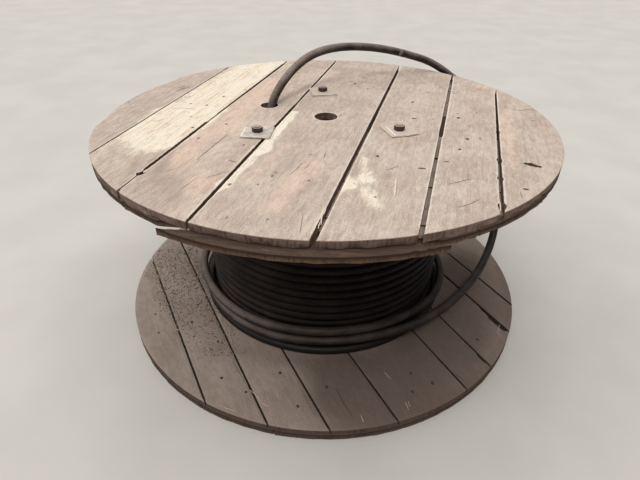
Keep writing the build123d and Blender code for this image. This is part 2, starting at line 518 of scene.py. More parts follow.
@dataclass(frozen=True)
class ZincPlate:
    """Dull zinc on a plate washer, with dust lying on its top."""

    name: str
    zinc: Colour = tone(224, 212, 200)
    dull: Colour = tone(166, 152, 141)
    dust: Colour = tone(204, 186, 170)
    dusting: float = 0.3

    def material(self) -> bpy.types.Material:
        """Build it on the object's own place and facing."""
        recipe = Recipe(self.name)
        place = recipe.place()
        patches = recipe.noise(place, 60.0, 5.0)
        grit = recipe.noise(place, 520.0, 3.0)
        cover = (patches - 0.5) * 1.4 + self.dusting
        lying = recipe.facing().clear(0.75, 0.98) * cover.clear(0.25, 0.75)
        tarnish = (patches * 0.5 + grit * 0.5).clear(0.40, 0.62)
        colour = recipe.coats(self.zinc, (tarnish, self.dull), (lying, self.dust))
        roughness = lying * 0.45 + 0.45
        return recipe.finish(colour, roughness, grit, 0.15 * MM, Metallic=0.0)


@dataclass(frozen=True)
class PlainMatter:
    """A dull material of two mottled tones, as of straw, crumbs or pitted wood."""

    name: str
    light: Colour
    dark: Colour
    grain: float = 300.0

    def material(self) -> bpy.types.Material:
        """Build it on the object's own place."""
        recipe = Recipe(self.name)
        mottle = recipe.noise(recipe.place(), self.grain, 4.0)
        colour = recipe.mix(mottle.clear(0.35, 0.65), self.light, self.dark)
        return recipe.finish(colour, 0.9, mottle, 0.2 * MM, Specular_IOR_Level=0.2)


def wobble(points: Array, wavelength: float, seed: int) -> Array:
    """Smooth number that looks random, from about -1 to 1, at each point.

    It is a quarter of the sum of eight plane waves of about one length, turned and shifted at random.

    Args:
        points: Places, (..., d).
        wavelength: Their typical length.
        seed: Which waves.

    Returns:
        The numbers, (...).
    """
    draw = np.random.default_rng(seed)
    turns = unit(draw.normal(size=(8, points.shape[-1])))
    waves = turns * (2 * pi / wavelength) * draw.uniform(0.5, 1.8, (8, 1))
    return np.sin(points @ waves.T + draw.uniform(0, 2 * pi, 8)).sum(-1) / 4


def grid_faces(rows: int, columns: int, round_rows: bool = False, round_columns: bool = False) -> Array:
    """Quads between the points of a grid that is numbered row by row.

    Args:
        rows: Number of rows.
        columns: Number of points in a row.
        round_rows: Whether the last row joins the first.
        round_columns: Whether a row's last point joins its first.

    Returns:
        The quads, (n, 4).
    """
    row, column = np.meshgrid(
        np.arange(rows if round_rows else rows - 1),
        np.arange(columns if round_columns else columns - 1),
        indexing="ij",
    )
    below, after = (row + 1) % rows, (column + 1) % columns
    here, down = row * columns, below * columns
    return np.stack((here + column, here + after, down + after, down + column), axis=-1).reshape(-1, 4)


def add_piece(
    name: str,
    points: Array,
    faces: Iterable[Array],
    finish: bpy.types.Material,
    slot: str,
    channels: dict[str, Array] | None = None,
    sharp: float = 40.0,
) -> bpy.types.Object:
    """Make a mesh piece that rides on the drum.

    Args:
        name: The piece's name.
        points: Its points, (n, 3).
        faces: Arrays of its triangles or quads.
        finish: Its material.
        slot: Not used.
        channels: Numbers or vectors that are painted on its points.
        sharp: Edges that turn by more degrees than this stay sharp.

    Returns:
        The object.
    """
    mesh = bpy.data.meshes.new(name)
    mesh.from_pydata(points.tolist(), [], [face for part in faces for face in part.tolist()])
    for channel, numbers in (channels or {}).items():
        kind = "FLOAT_VECTOR" if numbers.ndim == 2 else "FLOAT"
        layer = mesh.attributes.new(channel, kind, "POINT")
        layer.data.foreach_set("vector" if numbers.ndim == 2 else "value", numbers.astype(np.float32).ravel())
    mesh.materials.append(finish)
    mesh.shade_smooth()
    mesh.set_sharp_from_angle(angle=radians(sharp))
    piece = put(name, mesh)
    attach(piece, BODY)
    log.info("%s: %d faces", name, len(mesh.polygons))
    return piece


def tube(path: Array, radii: Array, sides: int, flat: float = 1.0) -> tuple[Array, list[Array]]:
    """Closed tube along a path that nowhere stands upright.

    Each ring lies across the path: the cosine of a turn times its sideways direction plus the sine
    times its upward one, and the upward part is scaled.

    Args:
        path: Its middle line, (n, 3).
        radii: Its radius at each point of the line.
        sides: Points in a ring.
        flat: Its height as a share of its width.

    Returns:
        The points, and arrays of its faces.
    """
    along = unit(np.gradient(path, axis=0))
    aside = unit(np.cross(along, (0.0, 0.0, 1.0)))
    upward = np.cross(aside, along) * flat
    turn = full_turn(sides)
    ring = np.cos(turn)[None, :, None] * aside[:, None] + np.sin(turn)[None, :, None] * upward[:, None]
    points = path[:, None] + radii[:, None, None] * ring
    start = np.arange(sides)[None]
    end = start[:, ::-1] + (len(path) - 1) * sides
    return points.reshape(-1, 3), [grid_faces(len(path), sides, round_columns=True)[:, ::-1], start, end]


def joined(parts: list[tuple[Array, list[Array]]]) -> tuple[Array, list[Array]]:
    """Several meshes as one, the faces of each shifted past the points before it.

    Args:
        parts: The points and faces of each.

    Returns:
        All points and all faces.
    """
    starts = np.cumsum([0, *(len(points) for points, _ in parts)])
    faces = [face + start for (_, faces), start in zip(parts, starts) for face in faces]
    return np.concatenate([points for points, _ in parts]), faces


def from_line(points: Array, ends: Any, level: float) -> Array:
    """Distance from the line between two places of a level.

    A point's nearest place on the line is a share of the way from its first end, held between the
    ends, and the distance is measured to there.

    Args:
        points: X and Y of the points, (n, 2).
        ends: The two pixels of the photograph that see the places.
        level: Height of the level.

    Returns:
        One number per point.
    """
    first, last = VIEW.on_level(np.array(ends), level)
    run = last - first
    share = np.clip((points - first) @ run / max(run @ run, 1e-12), 0, 1)
    return np.linalg.norm(points - first - share[:, None] * run, axis=1)


def at_rim(points: Array, start: float, width: float) -> Array:
    """How far points belong to a flange's round edge, from 0 at a share of its radius on to 1."""
    return np.clip((np.linalg.norm(points, axis=1) / FLANGE_RADIUS - start) / width, 0, 1)


@dataclass(frozen=True)
class Streak:
    """A soft band that is painted on a board between two places that pixels of the photograph see.

    width is in millimetres, to where the band has faded by half.
    """

    start: tuple[float, float]
    end: tuple[float, float]
    width: float
    strength: float

    def cover(self, points: Array, level: float, grain: float) -> Array:
        """How much the band adds at each point.

        It fades as two to the power of minus the square of the distance from the line between its
        ends, measured in its own half width.

        Args:
            points: X and Y of the points, (n, 2).
            level: Height of the boards' upper face.
            grain: Azimuth of the grain, which the band takes no heed of.

        Returns:
            One number per point.
        """
        away = from_line(points, (self.start, self.end), level) / (self.width / 2 * MM)
        return self.strength * 0.5 ** (away**2)


@dataclass(frozen=True)
class Patch:
    """A soft patch that is painted on a board, with its middle where a pixel of the photograph sees it.

    length runs with the grain and width across it, both to where the patch has faded by half, in
    millimetres.
    """

    pixel: tuple[float, float]
    length: float
    width: float
    strength: float

    def cover(self, points: Array, level: float, grain: float) -> Array:
        """How much the patch adds at each point.

        It fades as two to the power of minus the square of the distance from its middle, measured
        in its own half length and half width.

        Args:
            points: X and Y of the points, (n, 2).
            level: Height of the boards' upper face.
            grain: Azimuth of the grain in degrees.

        Returns:
            One number per point.
        """
        middle = VIEW.on_level(np.array([self.pixel]), level)[0]
        azimuth = radians(grain)
        along = (points - middle) @ (cos(azimuth), sin(azimuth))
        across = (points - middle) @ (-sin(azimuth), cos(azimuth))
        away = (along / (self.length / 2 * MM)) ** 2 + (across / (self.width / 2 * MM)) ** 2
        return self.strength * 0.5**away


@dataclass(frozen=True)
class Chip:
    """Wood broken out of a board's edge, at a pixel of the photograph; sizes in millimetres.

    depth is how far the edge goes back, reach half the length of edge that is gone, and low how much
    of that depth is gone at the board's lower face. A long chip runs on to a second pixel, one of the
    round edge leaves the joints whole, and one of a numbered board leaves its neighbours whole.
    """

    pixel: tuple[float, float]
    reach: float
    depth: float
    low: float = 0.3
    end: tuple[float, float] | None = None
    round_only: bool = False
    board: int | None = None

    def near(self, loop: Array, level: float) -> Array:
        """Distance from the chip's pixel, or from the line to its other end, as a share of its reach."""
        return from_line(loop, (self.pixel, self.end or self.pixel), level) / (self.reach * MM)


@dataclass(frozen=True)
class BoardLayer:
    """A layer of boards in a flange and how it is worn.

    level is the height of its upper face, grain the azimuth of its grain in degrees, and spacing the
    distance between the points of a board's face. arris, ragged and joint_wear are how far the
    arrises, the round edge and the joints are worn. The other numbers are painted: base has a number
    of each channel for one board after another, and starts again where it ends. grime is painted
    shade on the upper part of the sawn sides, rim_shade painted shade on the round edge, and
    arris_highlight a painted highlight along the upper arris.
    """

    prefix: str
    count: int
    level: float
    grain: float
    spacing: float
    arris: float
    ragged: float
    base: dict[Channel, tuple[float, ...]]
    arris_highlight: float = 0.0
    joint_wear: float = 0.0
    grime: float = 0.0
    rim_shade: float = 0.0
    patches: dict[Channel, tuple[Patch | Streak, ...]] = field(default_factory=dict)
    chips: tuple[Chip, ...] = ()
    slot: str = "board_under"


class WornBoard:
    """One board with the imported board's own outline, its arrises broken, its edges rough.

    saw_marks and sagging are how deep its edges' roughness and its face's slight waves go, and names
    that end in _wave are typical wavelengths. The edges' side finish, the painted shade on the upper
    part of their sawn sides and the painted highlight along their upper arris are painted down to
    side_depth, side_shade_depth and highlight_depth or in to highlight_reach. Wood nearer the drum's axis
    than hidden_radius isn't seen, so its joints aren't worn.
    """

    edge_step = 5 * MM
    hidden_radius = 300 * MM
    saw_marks, saw_wave = 0.16 * MM, 16 * MM
    sagging, sag_wave = 0.25 * MM, 260 * MM
    arris_wave = 45 * MM
    ragged_wave = 60 * MM
    chip_wave = 9 * MM
    sharp_opening = 0.2
    least_room = 0.1 * MM
    side_depth = 1.6 * MM
    side_shade_depth = 9 * MM
    highlight_reach = 2.5 * MM
    highlight_depth = 2 * MM

    def __init__(self, frame: dict[str, Any], layer: BoardLayer, number: int) -> None:
        """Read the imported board's outline.

        Args:
            frame: The loaded frame.
            layer: Its layer.
            number: Its number in the layer, from 1.
        """
        self.layer = layer
        self.number = number
        self.node = f"{layer.prefix}_board_{number}"
        self.seed = sum(map(ord, layer.prefix)) + 17 * number
        self.loops, self.low, self.high = self.outline(frame["nodes"][self.node].data)

    @staticmethod
    def outline(mesh: bpy.types.Mesh) -> tuple[list[Array], float, float]:
        """The edge loops of a flat board's upper face.

        Corners that share a place are one, and an edge of the upper face's triangles that has no
        partner the other way round is on the face's edge. Each loop has the wood on its left.

        Args:
            mesh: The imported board.

        Returns:
            The loops, and the board's lower and upper level.
        """
        mesh.calc_loop_triangles()
        places = np.empty(len(mesh.vertices) * 3)
        mesh.vertices.foreach_get("co", places)
        corners = np.empty(len(mesh.loop_triangles) * 3, np.int32)
        mesh.loop_triangles.foreach_get("vertices", corners)
        places = places.reshape(-1, 3)
        micrometres = np.round(places * 1e6).astype(np.int64)
        _, first, merged = np.unique(micrometres, axis=0, return_index=True, return_inverse=True)
        places, triangles = places[first], merged.reshape(-1)[corners].reshape(-1, 3)
        low, high = places[:, 2].min(), places[:, 2].max()
        upper = triangles[(places[triangles, 2] > high - 1e-6).all(axis=1)]
        edges = np.concatenate([upper[:, [a, (a + 1) % 3]] for a in range(3)])
        forth = edges[:, 0] * len(places) + edges[:, 1]
        back = edges[:, 1] * len(places) + edges[:, 0]
        follow = dict(edges[~np.isin(forth, back)].tolist())
        loops = []
        while follow:
            start, here = follow.popitem()
            loop = [start]
            while here != start:
                loop.append(here)
                here = follow.pop(here)
            loops.append(places[loop, :2])
        return loops, float(low), float(high)

    def divide(self, loop: Array) -> Array:
        """Add evenly spaced points to a loop's sides, with its corners kept."""
        ends = np.roll(loop, -1, axis=0)
        counts = np.ceil(np.linalg.norm(ends - loop, axis=1) / self.edge_step).astype(int)
        side = np.repeat(np.arange(len(loop)), counts)
        share = np.concatenate([np.arange(count) / count for count in counts])
        return loop[side] + share[:, None] * (ends - loop)[side]

    def into_wood(self, loop: Array) -> Array:
        """Directions that point into the wood from a loop's points."""
        ahead = unit(np.roll(loop, -1, axis=0) - loop)
        left = np.column_stack((-ahead[:, 1], ahead[:, 0]))
        return unit(left + np.roll(left, 1, axis=0))

    def room(self, loop: Array) -> Array:
        """How far each point of an edge can go into the wood before it meets the edge's other side.

        It counts only near corners under 78 degrees, and grows with the distance from them.
        """
        ahead, behind = np.roll(loop, -1, axis=0) - loop, np.roll(loop, 1, axis=0) - loop
        opening = (ahead * behind).sum(1) / (np.linalg.norm(ahead, axis=1) * np.linalg.norm(behind, axis=1))
        sharp = opening > self.sharp_opening
        if not sharp.any():
            return np.full(len(loop), FLANGE_RADIUS)
        away = np.linalg.norm(loop[:, None] - loop[None, sharp], axis=2)
        return (self.least_room + 0.3 * np.sqrt(1 - np.clip(opening[sharp], 0, 1) ** 2) * away).min(1)

    def wear(self, loop: Array, sinking: Array) -> Array:
        """How far the edge goes into the wood, for rings of points from the upper to the lower face.

        The arris is broken by a quarter round whose radius wanders along the edge, the sawn face
        between the arrises is uneven, and chips are added.

        Args:
            loop: The edge's points.
            sinking: Depth of each ring as a share of the thickness.

        Returns:
            One number per ring and point.
        """
        thickness = self.high - self.low
        arris = self.layer.arris * (1 + 0.4 * wobble(loop, self.arris_wave, self.seed)) / thickness
        near = np.minimum(sinking, 1 - sinking)[:, None]
        inside = np.clip(1 - near / arris, 0, 1)
        rounded = arris * (1 - np.sqrt(np.clip(1 - inside**2, 0, 1))) * thickness
        depth = np.broadcast_to(sinking[:, None, None] * thickness, (len(sinking), len(loop), 1))
        places = np.concatenate((np.broadcast_to(loop, (len(sinking), *loop.shape)), depth), axis=2)
        rough = self.saw_marks * (1 + wobble(places, self.saw_wave, self.seed + 1))
        round_edge = at_rim(loop, 0.985, 0.01)
        ragged = self.layer.ragged * (0.5 + 0.5 * wobble(loop, self.ragged_wave, self.seed + 2)) * round_edge
        worn = rounded + rough + np.clip(ragged, 0, None) * np.clip(2 * sinking[:, None] - 1, 0, 1)
        in_sight = np.clip((np.linalg.norm(loop, axis=1) - self.hidden_radius) / (30 * MM), 0, 1)
        worn = worn + self.layer.joint_wear * (1 - round_edge) * in_sight
        for number, chip in enumerate(self.layer.chips):
            away = chip.near(loop, self.layer.level)
            jag = 1 + min(0.35, 1 / chip.depth) * wobble(loop, self.chip_wave, self.seed + 31 * number)
            bite = chip.depth * MM * np.clip(1.15 - away**2, 0, 1) * jag
            bite = bite * (round_edge if chip.round_only else 1) * (chip.board in (None, self.number))
            worn = worn + bite * (1 - (1 - chip.low) * sinking[:, None])
        return np.minimum(worn, self.room(loop))

    def inner_points(self, edge: list[Array]) -> Array:
        """A staggered grid of points inside the worn edge, clear of it by half its spacing."""
        spacing = self.layer.spacing
        rim = np.concatenate(edge)
        low, high = rim.min(0), rim.max(0)
        across, along = np.meshgrid(np.arange(low[0], high[0], spacing), np.arange(low[1], high[1], spacing))
        across[1::2] += spacing / 2
        points = np.column_stack((across.ravel(), along.ravel()))
        points = points[self.inside(points, edge)]
        return points[self.distance(points, edge) > 0.55 * spacing]

    @staticmethod
    def inside(points: Array, edge: list[Array]) -> Array:
        """Whether points lie in the wood: a ray from each crosses the loops an odd number of times."""
        crossings = np.zeros(len(points), int)
        for loop in edge:
            ends = np.roll(loop, -1, axis=0)
            straddles = (loop[:, 1] > points[:, 1:]) != (ends[:, 1] > points[:, 1:])
            slope = (ends[:, 0] - loop[:, 0]) / np.where(ends[:, 1] == loop[:, 1], 1, ends[:, 1] - loop[:, 1])
            met = loop[:, 0] + (points[:, 1:] - loop[:, 1]) * slope
            crossings += (straddles & (points[:, :1] < met)).sum(1)
        return crossings % 2 == 1

    @staticmethod
    def distance(points: Array, edge: list[Array]) -> Array:
        """Distance from each point to the nearest point of the loops."""
        rim = np.concatenate(edge)
        batches = np.array_split(points, max(1, len(points) // 500))
        return np.concatenate([np.sqrt(((part[:, None] - rim) ** 2).sum(-1).min(1)) for part in batches])

    def cap(self, edge: list[Array], inner: Array) -> tuple[Array, Array]:
        """Fill a face with triangles through its edge and its inner points.

        Args:
            edge: The worn loops.
            inner: Points inside them.

        Returns:
            The face's points, edge first, and its triangles, counter-clockwise from above.
        """
        points = np.concatenate((*edge, inner))
        starts = np.cumsum([0, *map(len, edge)])
        links = [
            (start + corner, start + (corner + 1) % len(loop))
            for start, loop in zip(starts, edge)
            for corner in range(len(loop))
        ]
        found, _, faces, _, _, _ = delaunay_2d_cdt(points.tolist(), links, [], 0, 1e-9)
        found, triangles = np.array(found), np.array(faces)
        triangles = triangles[self.inside(found[triangles].mean(1), edge)]
        a, b, c = (found[triangles[:, k]] for k in range(3))
        turned = np.cross(b - a, c - a) < 0
        triangles[turned] = triangles[turned][:, ::-1]
        return found, triangles

    def sag(self, places: Array) -> Array:
        """How far the upper face lies under its full height, in slight waves."""
        return self.sagging * (1 + wobble(places, self.sag_wave, self.seed + 5))

    def channels(self, places: Array, depth: Array, away: Array, round_edge: Array) -> dict[str, Array]:
        """What is painted on the board's points.

        Args:
            places: X and Y of the points.
            depth: How far each lies under the upper face.
            away: Distance to the nearest edge of the upper face.
            round_edge: How far each point belongs to the flange's round edge, from 0 to 1.

        Returns:
            Arrays by channel name, with the grain coordinates.
        """
        layer = self.layer
        azimuth = radians(layer.grain)
        along = places @ (cos(azimuth), sin(azimuth)) + 0.71 * self.number
        across = places @ (-sin(azimuth), cos(azimuth)) + 1.37 * self.number
        painted = {"grain": np.column_stack((along, across, -depth))}
        for channel in (Channel.BARE, Channel.ROSY, Channel.DUST, Channel.SMEAR_AND_SHADE, Channel.STAIN):
            levels = layer.base.get(channel, (0.0,))
            total = np.full(len(places), levels[(self.number - 1) % len(levels)])
            for patch in layer.patches.get(channel, ()):
                total += patch.cover(places, layer.level, layer.grain)
            # painted shade: the round edge is darkened towards the smear tone
            if channel is Channel.SMEAR_AND_SHADE:
                total += layer.rim_shade * round_edge
            painted[channel.value] = total
        painted[Channel.SIDE.value] = np.clip(depth / self.side_depth, 0, 1)
        # painted shade: strongest just under the upper face, gone a little over side_shade_depth down
        painted[Channel.SIDE_SHADE.value] = layer.grime * np.clip(1.3 - depth / self.side_shade_depth, 0, 0.9)
        # painted highlight: fades inward from every upper edge, weaker at the round edge
        pale = np.exp(-away / self.highlight_reach) * (1 - 0.75 * round_edge) * (depth < self.highlight_depth)
        painted[Channel.ARRIS_HIGHLIGHT.value] = pale * layer.arris_highlight
        return painted

    def build(self, finish: bpy.types.Material) -> bpy.types.Object:
        """Make the board: rings down its worn edge and a filled upper and lower face."""
        sinking = np.array((0.0, 0.02, 0.06, 0.13, 0.35, 0.62, 0.87, 0.94, 1.0))
        thickness = self.high - self.low
        edge = [self.divide(loop) for loop in self.loops]
        worn = [loop + self.into_wood(loop) * self.wear(loop, sinking)[..., None] for loop in edge]
        upper, lower = [ring[0] for ring in worn], [ring[-1] for ring in worn]
        face, triangles = self.cap(upper, self.inner_points(upper))
        base, lower_triangles = self.cap(lower, np.empty((0, 2)))
        ring_size = sum(map(len, edge))
        rings = np.concatenate(worn, axis=1)
        flat = np.concatenate((rings.reshape(-1, 2), face[ring_size:]))
        depth = np.concatenate((np.repeat(sinking * thickness, ring_size), np.zeros(len(face) - ring_size)))
        sag = self.sag(flat) * np.clip(1 - depth / thickness, 0, 1)
        points = np.column_stack((flat, self.high - depth - sag))
        shift = (len(sinking) - 1) * ring_size
        triangles = np.where(triangles >= ring_size, triangles + shift, triangles)
        faces = [triangles, lower_triangles[:, ::-1] + shift]
        start = 0
        for loop in edge:
            quads = grid_faces(len(sinking), len(loop), round_columns=True)
            row, column = np.divmod(quads, len(loop))
            faces.append((row * ring_size + start + column)[:, ::-1])
            start += len(loop)
        away = self.distance(flat, upper)
        round_edge = at_rim(flat, 0.96, 0.02)
        channels = self.channels(flat, depth, away, round_edge)
        board = add_piece(f"worn_{self.node}", points, faces, finish, self.layer.slot, channels)
        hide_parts(self.node)
        return board


@dataclass
class Flanges:
    """Both flanges: four layers of worn boards."""

    frame: dict[str, Any]
    top: BoardLayer = BoardLayer(
        prefix="upper_outer",
        count=7,
        level=Level.TOP.value,
        grain=TOP_GRAIN,
        spacing=6 * MM,
        arris=1.0 * MM,
        ragged=5 * MM,
        # painted highlight along every upper arris of the top boards
        arris_highlight=1.0,
        # painted shade, slight, on the upper part of the joints' sides
        grime=0.2,
        base={
            Channel.DUST: (1.0, 1.0, 1.0, 1.0, 0.9, 0.75, 1.0),
            Channel.ROSY: (0.05, 0.0, 0.0, 0.12, 0.25, -0.1, 0.1),
            Channel.BARE: (-0.4, -0.4, -0.3, -0.4, -0.35, -0.1, -0.6),
            Channel.SMEAR_AND_SHADE: (-0.3, -0.3, -0.3, -0.2, -0.25, -0.2, 0.12),
        },
        patches={
            Channel.BARE: (
                Streak((268, 62), (176, 122), 200, 1.15), Streak((160, 110), (146, 128), 80, 0.6),
                Streak((206, 110), (163, 142), 84, 1.0), Streak((132, 138), (104, 170), 190, 0.50),
                Streak((294, 112), (262, 148), 40, 1.25), Streak((262, 148), (224, 184), 42, 1.2),
                Streak((226, 182), (190, 217), 20, 1.0), Streak((278, 186), (264, 196), 12, 0.4),
                Patch((281, 156), 16, 10, 0.5), Streak((344, 186), (334, 204), 16, 0.75),
                Streak((350, 178), (370, 204), 60, 0.46), Streak((364, 160), (381, 206), 70, 0.58),
                Streak((359, 140), (368, 180), 34, 0.42), Streak((346, 176), (350, 186), 22, 0.6),
                Patch((345, 229), 90, 70, 0.4), Patch((395, 225), 60, 60, 0.2),
                Streak((446, 100), (442, 152), 8, 0.75), Streak((441.4, 157), (438, 190), 11, 0.8),
                Streak((431.8, 92), (436.5, 128), 5, 0.5), Streak((503, 100), (509, 150), 18, 0.62),
                Streak((509, 160), (509, 178), 26, 0.55),
            ),
            Channel.SMEAR_AND_SHADE: (
                # painted shadow: the streaks from pixel (306, 66) to (396, 74) and from (281, 101) through
                # (311, 86) to (345, 74) are the cable arch's soft shadow on the top boards
                Streak((128, 140), (110, 175), 130, 0.30), Streak((306, 66), (396, 74), 70, 0.8),
                Streak((281, 101), (311, 86), 30, 1.0), Streak((311, 86), (345, 74), 46, 0.75),
                Streak((112, 150), (122, 158), 26, 0.4), Streak((138, 158), (130, 172), 20, 0.5),
                Streak((172, 152), (160, 170), 22, 0.75), Streak((170, 172), (154, 206), 130, 0.75),
                Streak((170, 180), (180, 200), 40, 0.3), Streak((250, 195), (235, 225), 60, 0.3),
                Streak((356, 178), (364, 192), 16, 0.3), Streak((448, 184), (476, 176), 14, 0.3),
                Streak((455, 208), (492, 194), 14, 0.35), Streak((178, 90), (190, 86), 22, 0.55),
                Streak((148, 99), (165, 92), 20, 0.3), Streak((170, 116), (186, 112), 16, 0.25),
            ),
            Channel.ROSY: (
                Streak((144, 148), (106, 168), 110, 0.5), Streak((268, 85), (205, 125), 110, 0.75),
                Streak((222, 122), (178, 160), 60, 0.45), Patch((175, 167), 50, 34, 0.9),
                Patch((200, 182), 160, 60, 0.4), Streak((312, 165), (276, 206), 60, 0.55),
                Streak((290, 145), (252, 178), 40, 0.45), Streak((346, 190), (356, 204), 40, 0.35),
                Streak((505, 110), (512, 165), 40, 0.6), Patch((485, 87), 60, 70, 0.7),
                Patch((520, 105), 60, 60, 0.4),
            ),
            Channel.STAIN: (
                Streak((525.5, 163.5), (533, 165), 11, 1.0), Streak((532, 165), (541, 167), 8, 0.95),
                Streak((139, 173), (144, 173), 7, 0.9), Streak((443.5, 104), (441.5, 110), 4, 0.6),
            ),
        },
        chips=(
            Chip((111, 112), 100, 11, 1.0, end=(160, 86), round_only=True),
            Chip((145, 168), 8, 3.2, 1.0, end=(205, 122)), Chip((216, 113), 8, 2.2, 1.0, end=(284, 64)),
            Chip((296, 105), 8, 1.7, 1.0, end=(188, 218)), Chip((93, 150), 8, 1.2, 1.0, end=(226, 68)),
            Chip((300, 98), 8, 1.0, 1.0, end=(333, 63)), Chip((496, 92), 8, 0.3, 1.0, end=(503, 218)),
            Chip((452, 80), 8, 1.5, 1.0, end=(441, 135)), Chip((140.5, 173.5), 8, 8, 0.6),
            Chip((120.5, 190.5), 7, 6, 0.8), Chip((325, 210), 6, 1.2, 0.3, end=(308, 246)),
            Chip((502, 206), 13, 4, 0.4), Chip((499, 160), 11, 2.5, 0.3), Chip((500, 178), 9, 2.5, 0.3),
            Chip((498, 132), 9, 2, 0.3), Chip((442.5, 106), 7, 4, 0.3), Chip((476, 233), 9, 2.5, 0.5),
            Chip((425, 238), 8, 6, 0.9),
        ),
        slot="board_top",
    )
    upper_inner: BoardLayer = BoardLayer(
        prefix="upper_inner",
        count=10,
        level=Level.UPPER_SEAM.value,
        grain=-7.5,
        spacing=20 * MM,
        arris=1.4 * MM,
        ragged=3 * MM,
        joint_wear=0.6 * MM,
        # painted shade: strong on the sides just under the top boards
        grime=1.1,
        # painted shade: this layer's rim, under the top boards' overhang, is darkened
        rim_shade=1.4,
        base={
            # board 1 juts out under the top boards' rim: its low dust and strong smear are painted shade
            Channel.DUST: (-0.2, 0.75, 0.7, 0.75, 0.7),
            Channel.ROSY: (0.2,),
            Channel.BARE: (-0.4,),
            Channel.SMEAR_AND_SHADE: (0.7, 0.0, 0.0, 0.0, 0.0),
        },
        chips=(
            Chip((476, 236), 8, 6, 0.9), Chip((159, 229), 16, 4, 0.2), Chip((428, 246), 12, 7, 0.5),
            Chip((414, 250), 10, 4, 0.3), Chip((451, 247), 24, 12, 0.9, board=1),
            Chip((436, 158), 6, 2.5, 1.0), Chip((431, 184), 6, 2.5, 1.0),
            Chip((423.5, 223), 6, 2.5, 1.0),
        ),
    )
    lower_inner: BoardLayer = BoardLayer(
        prefix="lower_inner",
        count=9,
        level=Level.LOWER_FACE.value,
        grain=LOWER_GRAIN,
        spacing=10 * MM,
        arris=0.8 * MM,
        ragged=0.5 * MM,
        joint_wear=0.9 * MM,
        # painted shade, slight, on this layer's round edge
        rim_shade=0.12,
        base={
            Channel.DUST: (0.95, 0.9, 1.0, 0.9),
            Channel.ROSY: (0.0, -0.1, 0.05),
            Channel.BARE: (-0.6,),
            Channel.SMEAR_AND_SHADE: (-0.1, 0.05, -0.1, 0.0),
        },
        patches={
            # painted shade: darker to the right and in towards the winding, where the upper flange shades the
            # lower one
            Channel.SMEAR_AND_SHADE: (
                Streak((440, 345), (462, 354), 30, 0.3), Streak((455, 262), (440, 330), 160, 0.6),
                Streak((440, 330), (350, 372), 140, 0.5), Streak((520, 270), (420, 400), 330, 0.75),
                Streak((420, 400), (340, 400), 160, 0.5), Streak((350, 368), (260, 352), 90, 0.5),
                Streak((340, 405), (250, 400), 150, 0.2), Streak((398, 385), (392, 410), 20, 0.4),
                Streak((200, 300), (240, 350), 40, 0.35),
            ),
            Channel.STAIN: (
                Patch((336, 389), 12, 8, 0.6), Patch((344, 401), 12, 8, 0.7),
            ),
            Channel.BARE: (
                Streak((158, 300), (196, 345), 60, 0.35), Streak((217, 412), (236, 418), 5, 1.0),
            ),
        },
        chips=(
            Chip((483, 309.5), 12, 4, 0.9, end=(490, 315.5), board=7),
            Chip((494, 319), 18, 10, 0.9, end=(503, 327), board=7),
            Chip((449, 252), 8, 1.0, 1.0, end=(511, 303)),
            Chip((446, 278), 8, 1.0, 1.0, end=(504, 328)), Chip((482, 358), 18, 4, 0.7, board=6),
        ),
    )
    floor_layer: BoardLayer = BoardLayer(
        prefix="lower_outer",
        count=8,
        level=Level.LOWER_SEAM.value,
        grain=27.0,
        spacing=40 * MM,
        arris=1.4 * MM,
        ragged=2 * MM,
        joint_wear=0.3 * MM,
        # painted shade: this layer lies under the one above; its face is darkened all over and its sawn sides
        # towards their upper edge
        grime=0.9,
        base={Channel.DUST: (0.7,), Channel.BARE: (-0.4,), Channel.SMEAR_AND_SHADE: (1.4,)},
    )

    def build(self) -> None:
        """Make every board of the four layers."""
        dusty = WeatheredWood("dusty_boards").material()
        # darker tones than the top boards, partly painted shade: these boards are only seen under the top
        # boards' overhang and in their joints; the smear tone is the painted shade's colour
        under = WeatheredWood(
            "shaded_under_boards",
            wood=tone(104, 84, 70),
            dust=tone(196, 178, 162),
            dull_dust=tone(178, 158, 143),
            smear=tone(58, 46, 40),
            side=tone(116, 90, 71),
            side_line=tone(50, 37, 30),
            speck=tone(150, 130, 114),
            fibre_share=0.5,
        ).material()
        # darker tones than the top boards, partly painted shade under the upper flange; the smear tone is the
        # painted shade's colour
        lower = WeatheredWood(
            "shaded_lower_boards",
            wood=tone(150, 124, 106),
            rosy=tone(186, 156, 140),
            dust=tone(166, 150, 138),
            dull_dust=tone(148, 132, 121),
            smear=tone(84, 71, 64),
            side=tone(96, 78, 68),
            side_line=tone(54, 41, 35),
            speck=tone(184, 168, 154),
            fibre_share=0.3,
            grain_relief=0.25 * MM,
        ).material()
        for layer, finish in (
            (self.top, dusty),
            (self.upper_inner, under),
            (self.lower_inner, lower),
            (self.floor_layer, lower),
        ):
            for number in range(1, layer.count + 1):
                WornBoard(self.frame, layer, number).build(finish)


